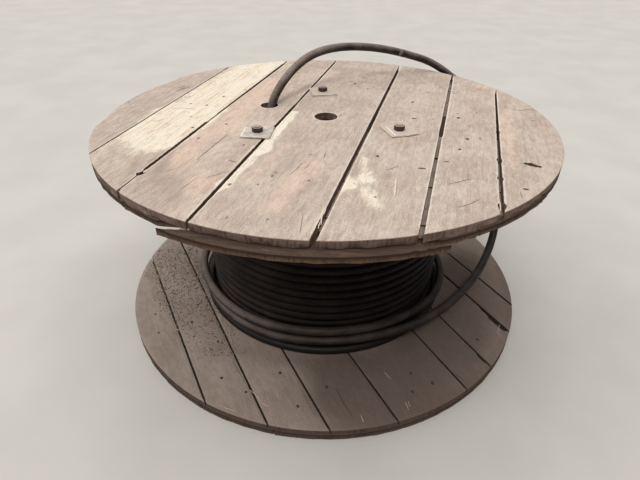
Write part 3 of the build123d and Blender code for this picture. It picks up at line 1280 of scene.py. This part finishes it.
@dataclass(frozen=True)
class Winding:
    """The cable as wound: one layer of turns in sight over another, and its way out at the bottom.

    Azimuths and stretches of a turn, such as step_up, way_out and tuck, are in degrees.
    """

    turn_radius: float = 336.35 * MM
    cable_radius: float = 12 * MM
    turns: int = 20
    pitch: float = 24.9 * MM
    under_radius: float = 315.8 * MM
    bore_radius: float = 263.1 * MM
    exit_radius: float = 361 * MM
    exit_height: float = 12.3 * MM
    exit_azimuth: float = 105.0
    step_up: float = 45.0
    way_out: float = 62.0
    tuck: float = 30.0
    tuck_depth: float = 18 * MM
    slack: float = 0.6 * MM
    sides: int = 12
    steps: int = 144
    under_steps: int = 96
    under_samples: int = 6

    def outer_turns(self) -> tuple[Array, list[Array]]:
        """The outer layer as one tube of level turns, each a step above the last.

        A point is the turn's middle circle plus the cable's radius times a direction in the upright
        plane through the axis. The height rises by a pitch over a short arc at the start of each
        turn. The first turn starts out at the loose cable and runs in to the rest, and the last one's
        end is tucked in behind it.

        Returns:
            The points and the faces.
        """
        count = self.steps * self.turns
        turned = np.linspace(0, 360 * self.turns, count)
        azimuth = np.radians(self.exit_azimuth - turned)
        circle = np.column_stack((np.cos(azimuth), np.sin(azimuth)))
        whole, part = np.divmod(turned, 360)
        ring = np.where(whole > 0, whole - 1 + eased(part / self.step_up), 0)
        leaving = eased(1 - turned / self.way_out)
        tucked = np.clip((turned - turned[-1] + self.tuck) / self.tuck, 0, 1) ** 2
        slack = self.slack * wobble(np.column_stack((circle, turned / 180)), 1.4, 3) - self.slack
        radius = self.turn_radius + slack + (self.exit_radius - self.turn_radius) * leaving
        radius = radius - self.tuck_depth * tucked
        height = Level.LOWER_FACE.value + self.pitch * (ring + 0.5)
        height = height + (self.exit_height - self.pitch / 2) * leaving
        turn = full_turn(self.sides)
        reach = radius[:, None] + self.cable_radius * np.cos(turn)
        rise = height[:, None] + self.cable_radius * np.sin(turn)
        points = np.stack((circle[:, :1] * reach, circle[:, 1:] * reach, rise), axis=-1)
        start = np.arange(self.sides)[None]
        end = start + (count - 1) * self.sides
        faces = [grid_faces(count, self.sides, round_columns=True), start[:, ::-1], end]
        return points.reshape(-1, 3), faces

    def under_turns(self) -> tuple[Array, Array]:
        """The layer below as a closed ring: its profile waves with the pitch, and is turned about Z.

        Returns:
            The points and the quads.
        """
        rise = np.linspace(0, self.turns * self.pitch, self.turns * self.under_samples + 1)
        wave = self.under_radius + self.cable_radius * np.abs(np.cos(pi * rise / self.pitch))
        low = Level.LOWER_FACE.value
        radius = np.concatenate((wave, [self.bore_radius, self.bore_radius]))
        height = np.concatenate((rise + low, [rise[-1] + low, low]))
        azimuth = full_turn(self.under_steps)[:, None]
        height = np.broadcast_to(height, (self.under_steps, len(height)))
        points = np.stack((np.cos(azimuth) * radius, np.sin(azimuth) * radius, height), axis=-1)
        faces = grid_faces(self.under_steps, len(radius), round_rows=True, round_columns=True)
        return points.reshape(-1, 3), faces[:, ::-1]

    def build(self, sheath: bpy.types.Material) -> None:
        """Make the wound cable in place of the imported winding."""
        outer, outer_faces = self.outer_turns()
        under, under_faces = self.under_turns()
        wound = add_piece("wound_cable", outer, outer_faces, sheath, "cable", sharp=60)
        below = add_piece("wound_cable_below", under, [under_faces], sheath, "cable", sharp=60)
        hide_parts("cable_winding")
        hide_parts("cable_winding")


@dataclass(frozen=True)
class LooseCable:
    """The cable's loose end: about two and a half turns round the winding, up the right side, over
    the rim and down into the drive hole. Its points are in millimetres, and its turns and its climb
    are given by azimuths in degrees.
    """

    diameter: float = 24 * MM
    length: float = 7902 * MM
    turn_step: float = 30.0
    nick: tuple[float, float, float] = (0.245, 0.405, 0.645)
    first_turn_azimuth: float = 120.0
    loose_turns: tuple[tuple[float, float], ...] = (
        (361, 12.3), (364, 12.3), (366, 12.3), (364, 12.3), (361, 12.3), (361, 12.3),
        (361, 12.3), (361, 12.3), (361, 12.3), (364, 12.3), (377, 18), (388, 29),
        (391, 44), (393, 56), (391, 60), (365, 62), (361.5, 72), (361.5, 84),
        (361.5, 76), (371, 60), (375, 49), (368, 43), (362, 40), (361, 38),
        (361, 37), (364, 36.7), (367, 36.7), (365, 36.7), (362, 37.5), (361.5, 50),
        (373, 53),
    )
    climb: tuple[tuple[float, float, float], ...] = (
        (-42, 411, 98), (-27, 443, 110), (-13, 485, 126), (0, 537, 156), (9, 576, 218),
        (15, 604, 296), (21, 622, 380), (28, 636, 454), (34.5, 646, 494), (41, 652, 518),
    )
    arch: tuple[tuple[float, float, float], ...] = (
        (442, 463, 556), (368, 470, 600), (284, 432, 631), (200, 378, 660), (115, 322, 681), (32, 270, 690),
        (-36, 218, 684), (-90, 168, 658), (-135, 118, 613), (-160, 89.5, 563), (-165, 84, 507),
    )

    @staticmethod
    def corner(azimuth: float, radius: float, height: float) -> tuple[float, float, float]:
        """A corner at an azimuth in radians, a distance from the drum's axis and a height."""
        return radius * cos(azimuth), radius * sin(azimuth), height

    def route(self) -> Array:
        """The route's corners in metres.

        The loose turns' corners lie outside the arc that the cable follows there, by one over the
        cosine of half a step.

        Returns:
            The corners, (n, 3).
        """
        half_step = radians(self.turn_step / 2)
        floor = Level.LOWER_FACE.value / MM
        exit_radius, exit_height = self.loose_turns[0]
        start = radians(self.first_turn_azimuth) - half_step
        corners = [self.corner(start, exit_radius, floor + exit_height)]
        for number, (radius, height) in enumerate(self.loose_turns):
            azimuth = radians(self.first_turn_azimuth + number * self.turn_step)
            corners.append(self.corner(azimuth, radius / cos(half_step), floor + height))
        for azimuth, radius, height in self.climb:
            corners.append(self.corner(radians(azimuth), radius, height))
        corners += self.arch
        return np.array(corners) * MM

    def build(self, sheath: bpy.types.Material) -> bpy.types.Object:
        corners = self.route()
        curve = bpy.data.curves.new("loose_cable", "CURVE")
        curve.dimensions = "3D"
        curve.bevel_depth = self.diameter / 2
        curve.bevel_resolution = 6
        curve.resolution_u = 10
        curve.use_fill_caps = True
        spline = curve.splines.new("NURBS")
        spline.points.add(len(corners) - 1)
        spline.points.foreach_set("co", np.column_stack((corners, np.ones(len(corners)))).ravel())
        spline.order_u = 3
        spline.use_endpoint_u = True
        spline.resolution_u = 10
        curve.materials.append(sheath)
        cable = put("loose_cable", curve)
        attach(cable, BODY)
        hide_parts("cable_tail")
        return cable


@dataclass(frozen=True)
class Fleck:
    """A mark in a board: a nail's head, a pit or a knot, at a pixel; sizes in millimetres."""

    pixel: tuple[float, float]
    length: float = 8.0
    width: float = 6.5
    turn: float = 0.0


@dataclass(frozen=True)
class Strand:
    """Something long and thin that lies on a board, through pixels; sizes in millimetres."""

    pixels: tuple[tuple[float, float], ...]
    width: float = 1.0
    height: float = 0.4


@dataclass(frozen=True)
class Grains:
    """Crumbs strewn between four corners that pixels see; sizes in millimetres."""

    corners: tuple[tuple[float, float], ...]
    count: int
    smallest: float = 1.5
    largest: float = 4.5


def domes(flecks: tuple[Fleck, ...], level: float, grain: float) -> tuple[Array, list[Array]]:
    """Low ragged domes, one for each mark, closed below.

    A dome's radius wanders round its edge, its height falls off as one less the square of the
    distance from its middle, and its edge is sunk into the board.

    Args:
        flecks: The marks.
        level: Height of the face that they are in.
        grain: Azimuth of the boards' grain.

    Returns:
        The points and arrays of faces.
    """
    rings, sides, swell = np.array((0.35, 0.75, 0.95, 1.0)), 14, 1.2
    rise, sunk = 0.35 * MM, 0.5 * MM
    turn = full_turn(sides)
    middle = VIEW.on_level(np.array([fleck.pixel for fleck in flecks]), level)
    size = np.array([(fleck.length, fleck.width) for fleck in flecks]) * swell * MM / 2
    azimuth = np.radians([grain + fleck.turn for fleck in flecks])
    ragged = np.random.default_rng(len(flecks)).uniform(0.75, 1.2, (len(flecks), 1, sides))
    reach = rings[None, :, None] * ragged
    along, across = reach * np.cos(turn) * size[:, :1, None], reach * np.sin(turn) * size[:, 1:, None]
    c, s = np.cos(azimuth)[:, None, None], np.sin(azimuth)[:, None, None]
    height = level + rise * (1 - rings**2) - sunk * (rings == rings[-1])
    x, y = middle[:, :1, None] + along * c - across * s, middle[:, 1:, None] + along * s + across * c
    points = np.stack((x, y, np.broadcast_to(height[None, :, None], x.shape)), axis=-1)
    shifts = np.arange(len(flecks))[:, None] * len(rings) * sides
    quads = grid_faces(len(rings), sides, round_columns=True)[:, ::-1]
    cap = np.arange(sides)[None] + shifts
    base = cap[:, ::-1] + (len(rings) - 1) * sides
    return points.reshape(-1, 3), [(quads[None] + shifts[:, None]).reshape(-1, 4), cap, base]


def slivers(strands: tuple[Strand, ...], level: float) -> tuple[Array, list[Array]]:
    """Thin flattened tubes that lie on a level, smoothed at their bends and tapered at their ends.

    Args:
        strands: What to lay.
        level: Height of the face that they lie on.

    Returns:
        The points and arrays of faces.
    """
    parts, sides, smoothings = [], 6, 6
    for strand in strands:
        corners = VIEW.on_level(np.array(strand.pixels), level)
        numbers = np.arange(len(corners))
        steps = np.linspace(0, len(corners) - 1, 8 * len(corners))
        line = np.column_stack([np.interp(steps, numbers, corners[:, axis]) for axis in (0, 1)])
        for _ in range(smoothings):
            line[1:-1] = (line[:-2] + 2 * line[1:-1] + line[2:]) / 4
        share = np.linspace(0, 1, len(line))
        radii = strand.width / 2 * MM * (0.25 + 0.75 * np.sqrt(np.clip(4 * share * (1 - share), 0, 1)))
        radii = radii * (1 + 0.25 * wobble(line, 7 * MM, len(line)))
        flat = strand.height / strand.width
        path = np.column_stack((line, level + radii * flat * 0.6))
        parts.append(tube(path, radii, sides, flat))
    return joined(parts)


def crumbs(strewn: tuple[Grains, ...], level: float) -> tuple[Array, list[Array]]:
    """Small uneven eight-sided stones, strewn at random.

    Each is an octahedron whose corners are drawn in or out, turned about Z, and laid on the level.

    Args:
        strewn: Where they lie and how many.
        level: Height of the face that they lie on.

    Returns:
        The points and arrays of faces.
    """
    parts, strewn_radius = [], 590 * MM
    corner = np.array(((1, 0, 0), (0, 1, 0), (-1, 0, 0), (0, -1, 0), (0, 0, 1), (0, 0, -1)), float)
    sides = np.array(((0, 1, 4), (1, 2, 4), (2, 3, 4), (3, 0, 4), (1, 0, 5), (2, 1, 5), (3, 2, 5), (0, 3, 5)))
    for seed, grains in enumerate(strewn):
        draw = np.random.default_rng(seed)
        quad = VIEW.on_level(np.array(grains.corners), level)
        u, v = draw.uniform(0, 1, (2, grains.count, 1))
        middle = (1 - u) * (1 - v) * quad[0] + u * (1 - v) * quad[1] + u * v * quad[2] + (1 - u) * v * quad[3]
        coarse = draw.uniform(0, 1, (grains.count, 1)) ** 3
        size = MM / 2 * (grains.smallest + (grains.largest - grains.smallest) * coarse)
        shape = corner[None] * draw.uniform(0.6, 1.2, (grains.count, 6, 1)) * size[:, None]
        azimuth = draw.uniform(0, 2 * pi, (grains.count, 1))
        kept = np.linalg.norm(middle, axis=1) < strewn_radius
        x = shape[..., 0] * np.cos(azimuth) - shape[..., 1] * np.sin(azimuth) + middle[:, :1]
        y = shape[..., 0] * np.sin(azimuth) + shape[..., 1] * np.cos(azimuth) + middle[:, 1:]
        points = np.stack((x, y, shape[..., 2] * 0.7 + level + size * 0.4), axis=-1)
        faces = sides[None] + 6 * np.arange(kept.sum())[:, None, None]
        parts.append((points[kept].reshape(-1, 3), [faces.reshape(-1, 3)]))
    return joined(parts)


@dataclass(frozen=True)
class Marks:
    """Nails, pits and cracks in the boards' upper faces, what lies on them, and painted highlights along the
    plate washers' edges.
    """

    plate_thickness: float = 4 * MM
    nails: tuple[Fleck, ...] = (
        Fleck((355.1, 83.6), 9, 7), Fleck((412.3, 102), 9, 7), Fleck((414, 118.4), 12, 6, 90),
        Fleck((377.6, 156), 8, 7), Fleck((421.8, 168.3), 15, 5, 100), Fleck((446, 161.7), 14, 4, -60),
        Fleck((458.4, 117.7), 10, 8), Fleck((467.3, 138.9), 9, 8), Fleck((459.8, 149.3), 8, 6),
        Fleck((526.1, 189.2), 10, 6, 90), Fleck((226.4, 123.9), 7, 7), Fleck((192.6, 127.5), 7, 6),
        Fleck((454.2, 93.5), 9, 3, 80),
    )
    faint: tuple[Fleck, ...] = (
        Fleck((356.6, 86.4), 6, 4), Fleck((367.7, 88.6)), Fleck((364.2, 77.6), 12, 5, 90),
        Fleck((420.2, 89.8), 6, 4), Fleck((428.2, 92.5), 10, 5, 90), Fleck((433.2, 119.1), 7, 4),
        Fleck((457.4, 113.5), 6, 4), Fleck((469.8, 126), 7, 5), Fleck((480.1, 138.2), 8, 7),
        Fleck((476.5, 112.4), 6, 4), Fleck((190.7, 103.4)), Fleck((206.9, 105.1), 10, 7),
        Fleck((223.8, 96.4), 10, 7), Fleck((191, 116.3), 6, 5), Fleck((237.8, 109), 6, 4),
        Fleck((198.3, 138.1), 9, 8), Fleck((243.5, 144.7), 9, 6), Fleck((232.4, 161.2), 16, 6, 80),
        Fleck((247, 72), 7, 5), Fleck((245.2, 89.6), 8, 4), Fleck((257.8, 184.4), 6, 5),
        Fleck((275.9, 172.4), 12, 4, 30), Fleck((272.3, 175.9), 10, 5), Fleck((309, 180.6), 7, 7),
        Fleck((229.8, 184.4), 9, 6), Fleck((226.8, 217.4), 7, 5), Fleck((310.7, 154.6), 10, 3, 90),
        Fleck((128.7, 102.1), 8, 5), Fleck((163, 93), 7, 4), Fleck((375.3, 196.9), 6, 5),
        Fleck((533.5, 120.6), 10, 3, 90), Fleck((267.5, 219), 6, 5),
    )
    cracks: tuple[Strand, ...] = (
        Strand(((229, 133), (213, 146), (196.5, 160)), 1.3),
        Strand(((511.5, 109.5), (521.6, 110.5), (529, 109.2), (534.5, 110.3)), 1.8),
        Strand(((338.2, 116.8), (342, 114.2)), 1.8), Strand(((520.2, 192), (522.3, 198)), 1.0),
        Strand(((528.2, 163.4), (530.5, 163.4), (532.5, 164)), 6.5),
        Strand(((532.8, 165.6), (535.5, 166.4), (538.5, 166.6)), 7.0),
        Strand(((385, 170), (392, 168.6), (398.5, 165.8)), 1.2), Strand(((303, 163), (296, 169)), 1.0),
        Strand(((300, 166.5), (289.5, 174.7)), 0.9), Strand(((326, 152), (323.7, 158)), 1.2),
        Strand(((310, 163.5), (304, 169.5)), 0.9), Strand(((151, 120.8), (157, 121.2), (163, 119.2)), 1.0),
        Strand(((173, 108.5), (186, 108.2), (197, 109.4)), 0.9),
        Strand(((447, 184.5), (458, 182), (468, 179.5), (475, 178.6)), 1.0),
        Strand(((177, 91.5), (183, 88.6), (191, 87)), 2.4), Strand(((178, 88), (186, 85.6)), 1.8),
        Strand(((166, 172), (176, 168)), 1.0), Strand(((205, 178), (226, 172)), 0.8),
        Strand(((352, 182.6), (357, 184.6)), 1.2), Strand(((300, 232), (303, 214)), 0.8),
        Strand(((458, 207.5), (470, 204), (480, 199)), 0.9), Strand(((180, 190), (196, 178)), 0.8),
        Strand(((246, 75), (251, 71.5)), 1.2),
    )
    splinters: tuple[Strand, ...] = (
        Strand(((396.4, 178.1), (395.2, 188), (394.2, 198)), 4.6, 3.4),
        Strand(((323.5, 212), (321.5, 218), (321, 225)), 3.0, 3.0),
        Strand(((326, 209), (323.5, 215)), 2.4, 2.4), Strand(((320, 222), (318, 229)), 2.0, 2.0),
        Strand(((499, 199), (500.5, 206), (500.5, 211)), 1.8, 1.8),
        Strand(((497.5, 200), (499, 204)), 1.6, 1.6), Strand(((427.5, 223), (426.5, 230.5)), 2.4, 2.0),
    )
    # painted highlights: near-white strands along the plate washers' upper edges
    plate_edge_glints: tuple[Strand, ...] = (
        Strand(((385.8, 126.2), (391, 131.4), (396.2, 136)), 3.4, 0.8),
        Strand(((405.4, 135.6), (408, 135.4), (411, 134.6)), 2.6, 0.8),
        Strand(((413, 134.4), (415, 134), (416.6, 133.6)), 2.2, 0.8),
        Strand(((240.8, 136.2), (243.5, 131.4), (246.6, 126.6)), 4.0, 0.8),
        Strand(((241.4, 136.6), (255, 137.3), (269, 137.7)), 2.4, 0.8),
        Strand(((262, 126.9), (268, 127), (273, 127.2)), 3.0, 0.8),
        Strand(((314, 91.6), (316, 94.2), (320, 94.8), (328, 95), (337, 94.8)), 1.6, 0.6),
    )
    lower_nails: tuple[Fleck, ...] = (
        Fleck((221.8, 377.8)), Fleck((246, 392), 7, 6), Fleck((297.7, 406), 9, 7),
        Fleck((218, 341.5), 9, 6), Fleck((280, 372.7), 8, 6), Fleck((158.7, 332.6), 6, 6),
        Fleck((192, 322.4), 9, 7), Fleck((198, 304.5), 6, 5), Fleck((187.4, 304.5), 5, 5),
        Fleck((155.5, 314), 6, 5), Fleck((432.5, 383), 11, 8), Fleck((411, 373), 8, 6),
        Fleck((412.4, 391.6), 9, 6), Fleck((477.4, 339.4), 8, 7), Fleck((326.7, 387), 8, 6),
    )
    lower_cracks: tuple[Strand, ...] = (
        Strand(((336, 389), (346, 407), (354, 419)), 1.6), Strand(((455, 374), (465, 381)), 1.2),
        Strand(((300, 388), (318, 420)), 0.9), Strand(((232, 360), (246, 384)), 0.8),
        Strand(((170, 300), (182, 322)), 0.9),
    )
    straws: tuple[Strand, ...] = (
        Strand(((250, 390), (257, 396), (263, 404), (268.5, 407)), 2.8, 2.0),
        Strand(((360.5, 415), (362.3, 419), (363.5, 422)), 2.0, 1.6),
        Strand(((405, 402), (407, 406), (408.5, 410)), 1.4, 1.2),
        Strand(((408, 401), (410, 407)), 1.2, 1.0), Strand(((219, 405), (228, 409), (238, 412)), 2.0, 1.0),
        Strand(((173, 327), (180, 331)), 1.6, 1.4), Strand(((384, 372), (391, 379)), 1.4, 1.2),
        Strand(((238, 349), (232, 356)), 1.3, 1.1), Strand(((499.5, 324), (498, 332)), 2.0, 2.0),
    )
    sand: tuple[Grains, ...] = (
        Grains(((140, 262), (182, 250), (214, 300), (160, 318)), 1300, 2.0, 6.0),
        Grains(((160, 318), (214, 300), (238, 348), (196, 362)), 600, 1.8, 5.0),
        Grains(((142, 262), (162, 262), (164, 280), (144, 280)), 260, 2.4, 6.0),
        Grains(((196, 330), (250, 352), (330, 368), (250, 392)), 160, 1.4, 3.8),
        Grains(((192, 262), (199, 260), (224, 310), (216, 314)), 500, 3.0, 7.0),
    )
    dark_sand: tuple[Grains, ...] = (
        Grains(((152, 250), (196, 246), (218, 312), (160, 312)), 1200, 2.0, 6.0),
        Grains(((166, 312), (222, 312), (250, 356), (204, 356)), 500, 1.8, 5.5),
        Grains(((200, 350), (300, 364), (430, 345), (340, 420)), 160, 1.2, 4.0),
        Grains(((430, 345), (480, 300), (500, 330), (450, 375)), 60, 1.2, 3.4),
    )
    top_sand: tuple[Grains, ...] = (
        Grains(((215, 190), (300, 116), (306, 130), (240, 200)), 60, 0.8, 2.4),
        Grains(((120, 130), (300, 60), (500, 120), (330, 245)), 260, 0.8, 2.2),
        Grains(((440, 100), (520, 100), (545, 180), (440, 225)), 120, 0.8, 2.2),
    )

    def build(self) -> None:
        """Make the marks of both flanges, and the splinters, straws and crumbs on them."""
        top, lower = Level.TOP.value, Level.LOWER_FACE.value
        nail = RustySteel("nail_rust", steel=tone(48, 37, 31), rust=tone(66, 49, 39), dusting=0.05).material()
        worn_nail = RustySteel(
            "worn_nail_rust", steel=tone(136, 114, 96), rust=tone(108, 86, 70), dusting=0.3
        ).material()
        pit = PlainMatter("pitted_wood", tone(78, 60, 50), tone(48, 36, 32)).material()
        pale = PlainMatter("splintered_wood", tone(244, 230, 210), tone(214, 194, 172)).material()
        dim_nail = PlainMatter("dim_nail", tone(88, 71, 60), tone(66, 52, 44)).material()
        # near-white finish of the painted highlights on the washers' edges
        glint_finish = PlainMatter("zinc_glint", tone(250, 246, 240), tone(226, 217, 208)).material()
        straw = PlainMatter("straw", tone(214, 192, 168), tone(166, 144, 124)).material()
        grit = PlainMatter("grit", tone(216, 190, 168), tone(150, 124, 106), grain=220.0).material()
        pale_grit = PlainMatter("pale_grit", tone(200, 183, 169), tone(150, 133, 121), grain=220.0).material()
        dark_grit = PlainMatter("dark_grit", tone(132, 116, 105), tone(96, 82, 73), grain=220.0).material()
        raised = top + self.plate_thickness
        for name, surface, finish, slot in (
            ("nail_heads", domes(self.nails, top, TOP_GRAIN), nail, "bolt"),
            ("worn_nail_heads", domes(self.faint, top, TOP_GRAIN), worn_nail, "bolt"),
            ("lower_nail_heads", domes(self.lower_nails, lower, LOWER_GRAIN), dim_nail, "bolt"),
            ("cracks", slivers(self.cracks, top), pit, "board_top"),
            ("splinters", slivers(self.splinters, top), pale, "board_top"),
            ("plate_edge_glints", slivers(self.plate_edge_glints, raised), glint_finish, "bolt"),
            ("lower_cracks", slivers(self.lower_cracks, lower), pit, "board_under"),
            ("straws", slivers(self.straws, lower), straw, "board_under"),
            ("sand", crumbs(self.sand, lower), pale_grit, "board_under"),
            ("dark_sand", crumbs(self.dark_sand, lower), dark_grit, "board_under"),
            ("top_sand", crumbs(self.top_sand, top), grit, "board_top"),
        ):
            add_piece(name, *surface, finish, slot)


@dataclass(frozen=True)
class Sun:
    """Even light from one side: its strength, how far it spreads, and where it comes from, in degrees."""

    name: str
    strength: float
    spread: float
    azimuth: float
    elevation: float

    def hang(self) -> None:
        """Create the lamp."""
        lamp = bpy.data.lights.new(self.name, "SUN")
        lamp.energy = self.strength
        lamp.angle = radians(self.spread)
        put(self.name, lamp).rotation_euler = (radians(90 - self.elevation), 0, radians(self.azimuth + 90))


@dataclass(frozen=True)
class Studio:
    """Plain pale floor and plain soft light."""

    floor_size: float = 14.0
    floor_tone: Colour = tone(210, 205, 197)
    mottled_tone: Colour = tone(203, 198, 190)
    sky_strength: float = 0.12
    suns: tuple[Sun, ...] = (
        Sun("overhead", 2.50, 104.0, 140.0, 76.0),
        Sun("front", 0.62, 16.0, -95.0, 54.0),
        Sun("left_front", 0.25, 50.0, -165.0, 32.0),
    )

    def build(self) -> None:
        """Lay the floor and hang the lamps."""
        recipe = Recipe("plain_floor")
        mottle = recipe.noise(recipe.place(), 3.0, 4.0)
        colour = recipe.mix(mottle.clear(0.3, 0.7), self.floor_tone, self.mottled_tone)
        finish = recipe.finish(colour, 0.9, mottle, 0.1 * MM, Specular_IOR_Level=0.1)
        half = self.floor_size / 2
        mesh = bpy.data.meshes.new("floor")
        corners = [(-half, -half, 0), (half, -half, 0), (half, half, 0), (-half, half, 0)]
        mesh.from_pydata(corners, [], [(0, 1, 2, 3)])
        mesh.materials.append(finish)
        put("floor", mesh)
        for sun in self.suns:
            sun.hang()
        world = bpy.data.worlds.new("soft_sky")
        world.use_nodes = True
        sky = world.node_tree.nodes["Background"]
        sky.inputs["Color"].default_value = (1.0, 1.0, 1.0, 1.0)
        sky.inputs["Strength"].default_value = self.sky_strength
        bpy.context.scene.world = world


def dress_node(frame: dict[str, Any], name: str, finish: bpy.types.Material) -> None:
    """Give a carried-over part of the frame its finish."""
    for slot in frame["nodes"][name].material_slots:
        slot.link = "OBJECT"
        slot.material = finish


def dress_fittings(frame: dict[str, Any]) -> None:
    """Finish the barrel, bolts, nuts and washers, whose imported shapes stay."""
    stave = HiddenWood("barrel_wood").material()
    rust = RustySteel("rusty_steel").material()
    clean_plate = ZincPlate("zinc_plate", dusting=0.25).material()
    dusty_plate = ZincPlate("dusty_zinc_plate", dusting=1.0).material()
    for number in range(1, STAVES + 1):
        dress_node(frame, f"barrel_stave_{number}", stave)
    for number in range(1, BOLTS + 1):
        dress_node(frame, f"tie_bolt_{number}", rust)
        dress_node(frame, f"nut_{number}", rust)
        dress_node(frame, f"plate_washer_{number}", clean_plate if number == BOLTS else dusty_plate)
    dress_node(frame, "round_washers", rust)


def main() -> None:
    """Build the drum's looks, its floor and its light."""
    logging.basicConfig(level=logging.INFO, format="%(name)s: %(message)s")
    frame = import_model()
    bpy.context.scene.view_settings.view_transform = "Standard"
    VIEW.set_up()
    LooseCable().build(DustySheath("dusty_sheath", scuffs=((LooseCable.nick, 14 * MM, 0.9),)).material())
    # darker rubber, worn and dust tones than the loose cable: partly painted shade between the flanges,
    # partly less dust
    shaded_wound_sheath = DustySheath(
        "shaded_wound_sheath",
        rubber=tone(19, 14, 13),
        worn=tone(36, 28, 26),
        dust=tone(96, 84, 77),
        least=0.04,
        leftmost=0.5,
        raised=0.0,
        sheen=0.12,
    ).material()
    Winding().build(shaded_wound_sheath)
    Flanges(frame).build()
    Marks().build()
    dress_fittings(frame)
    Studio().build()


if __name__ == "__main__":
    main()
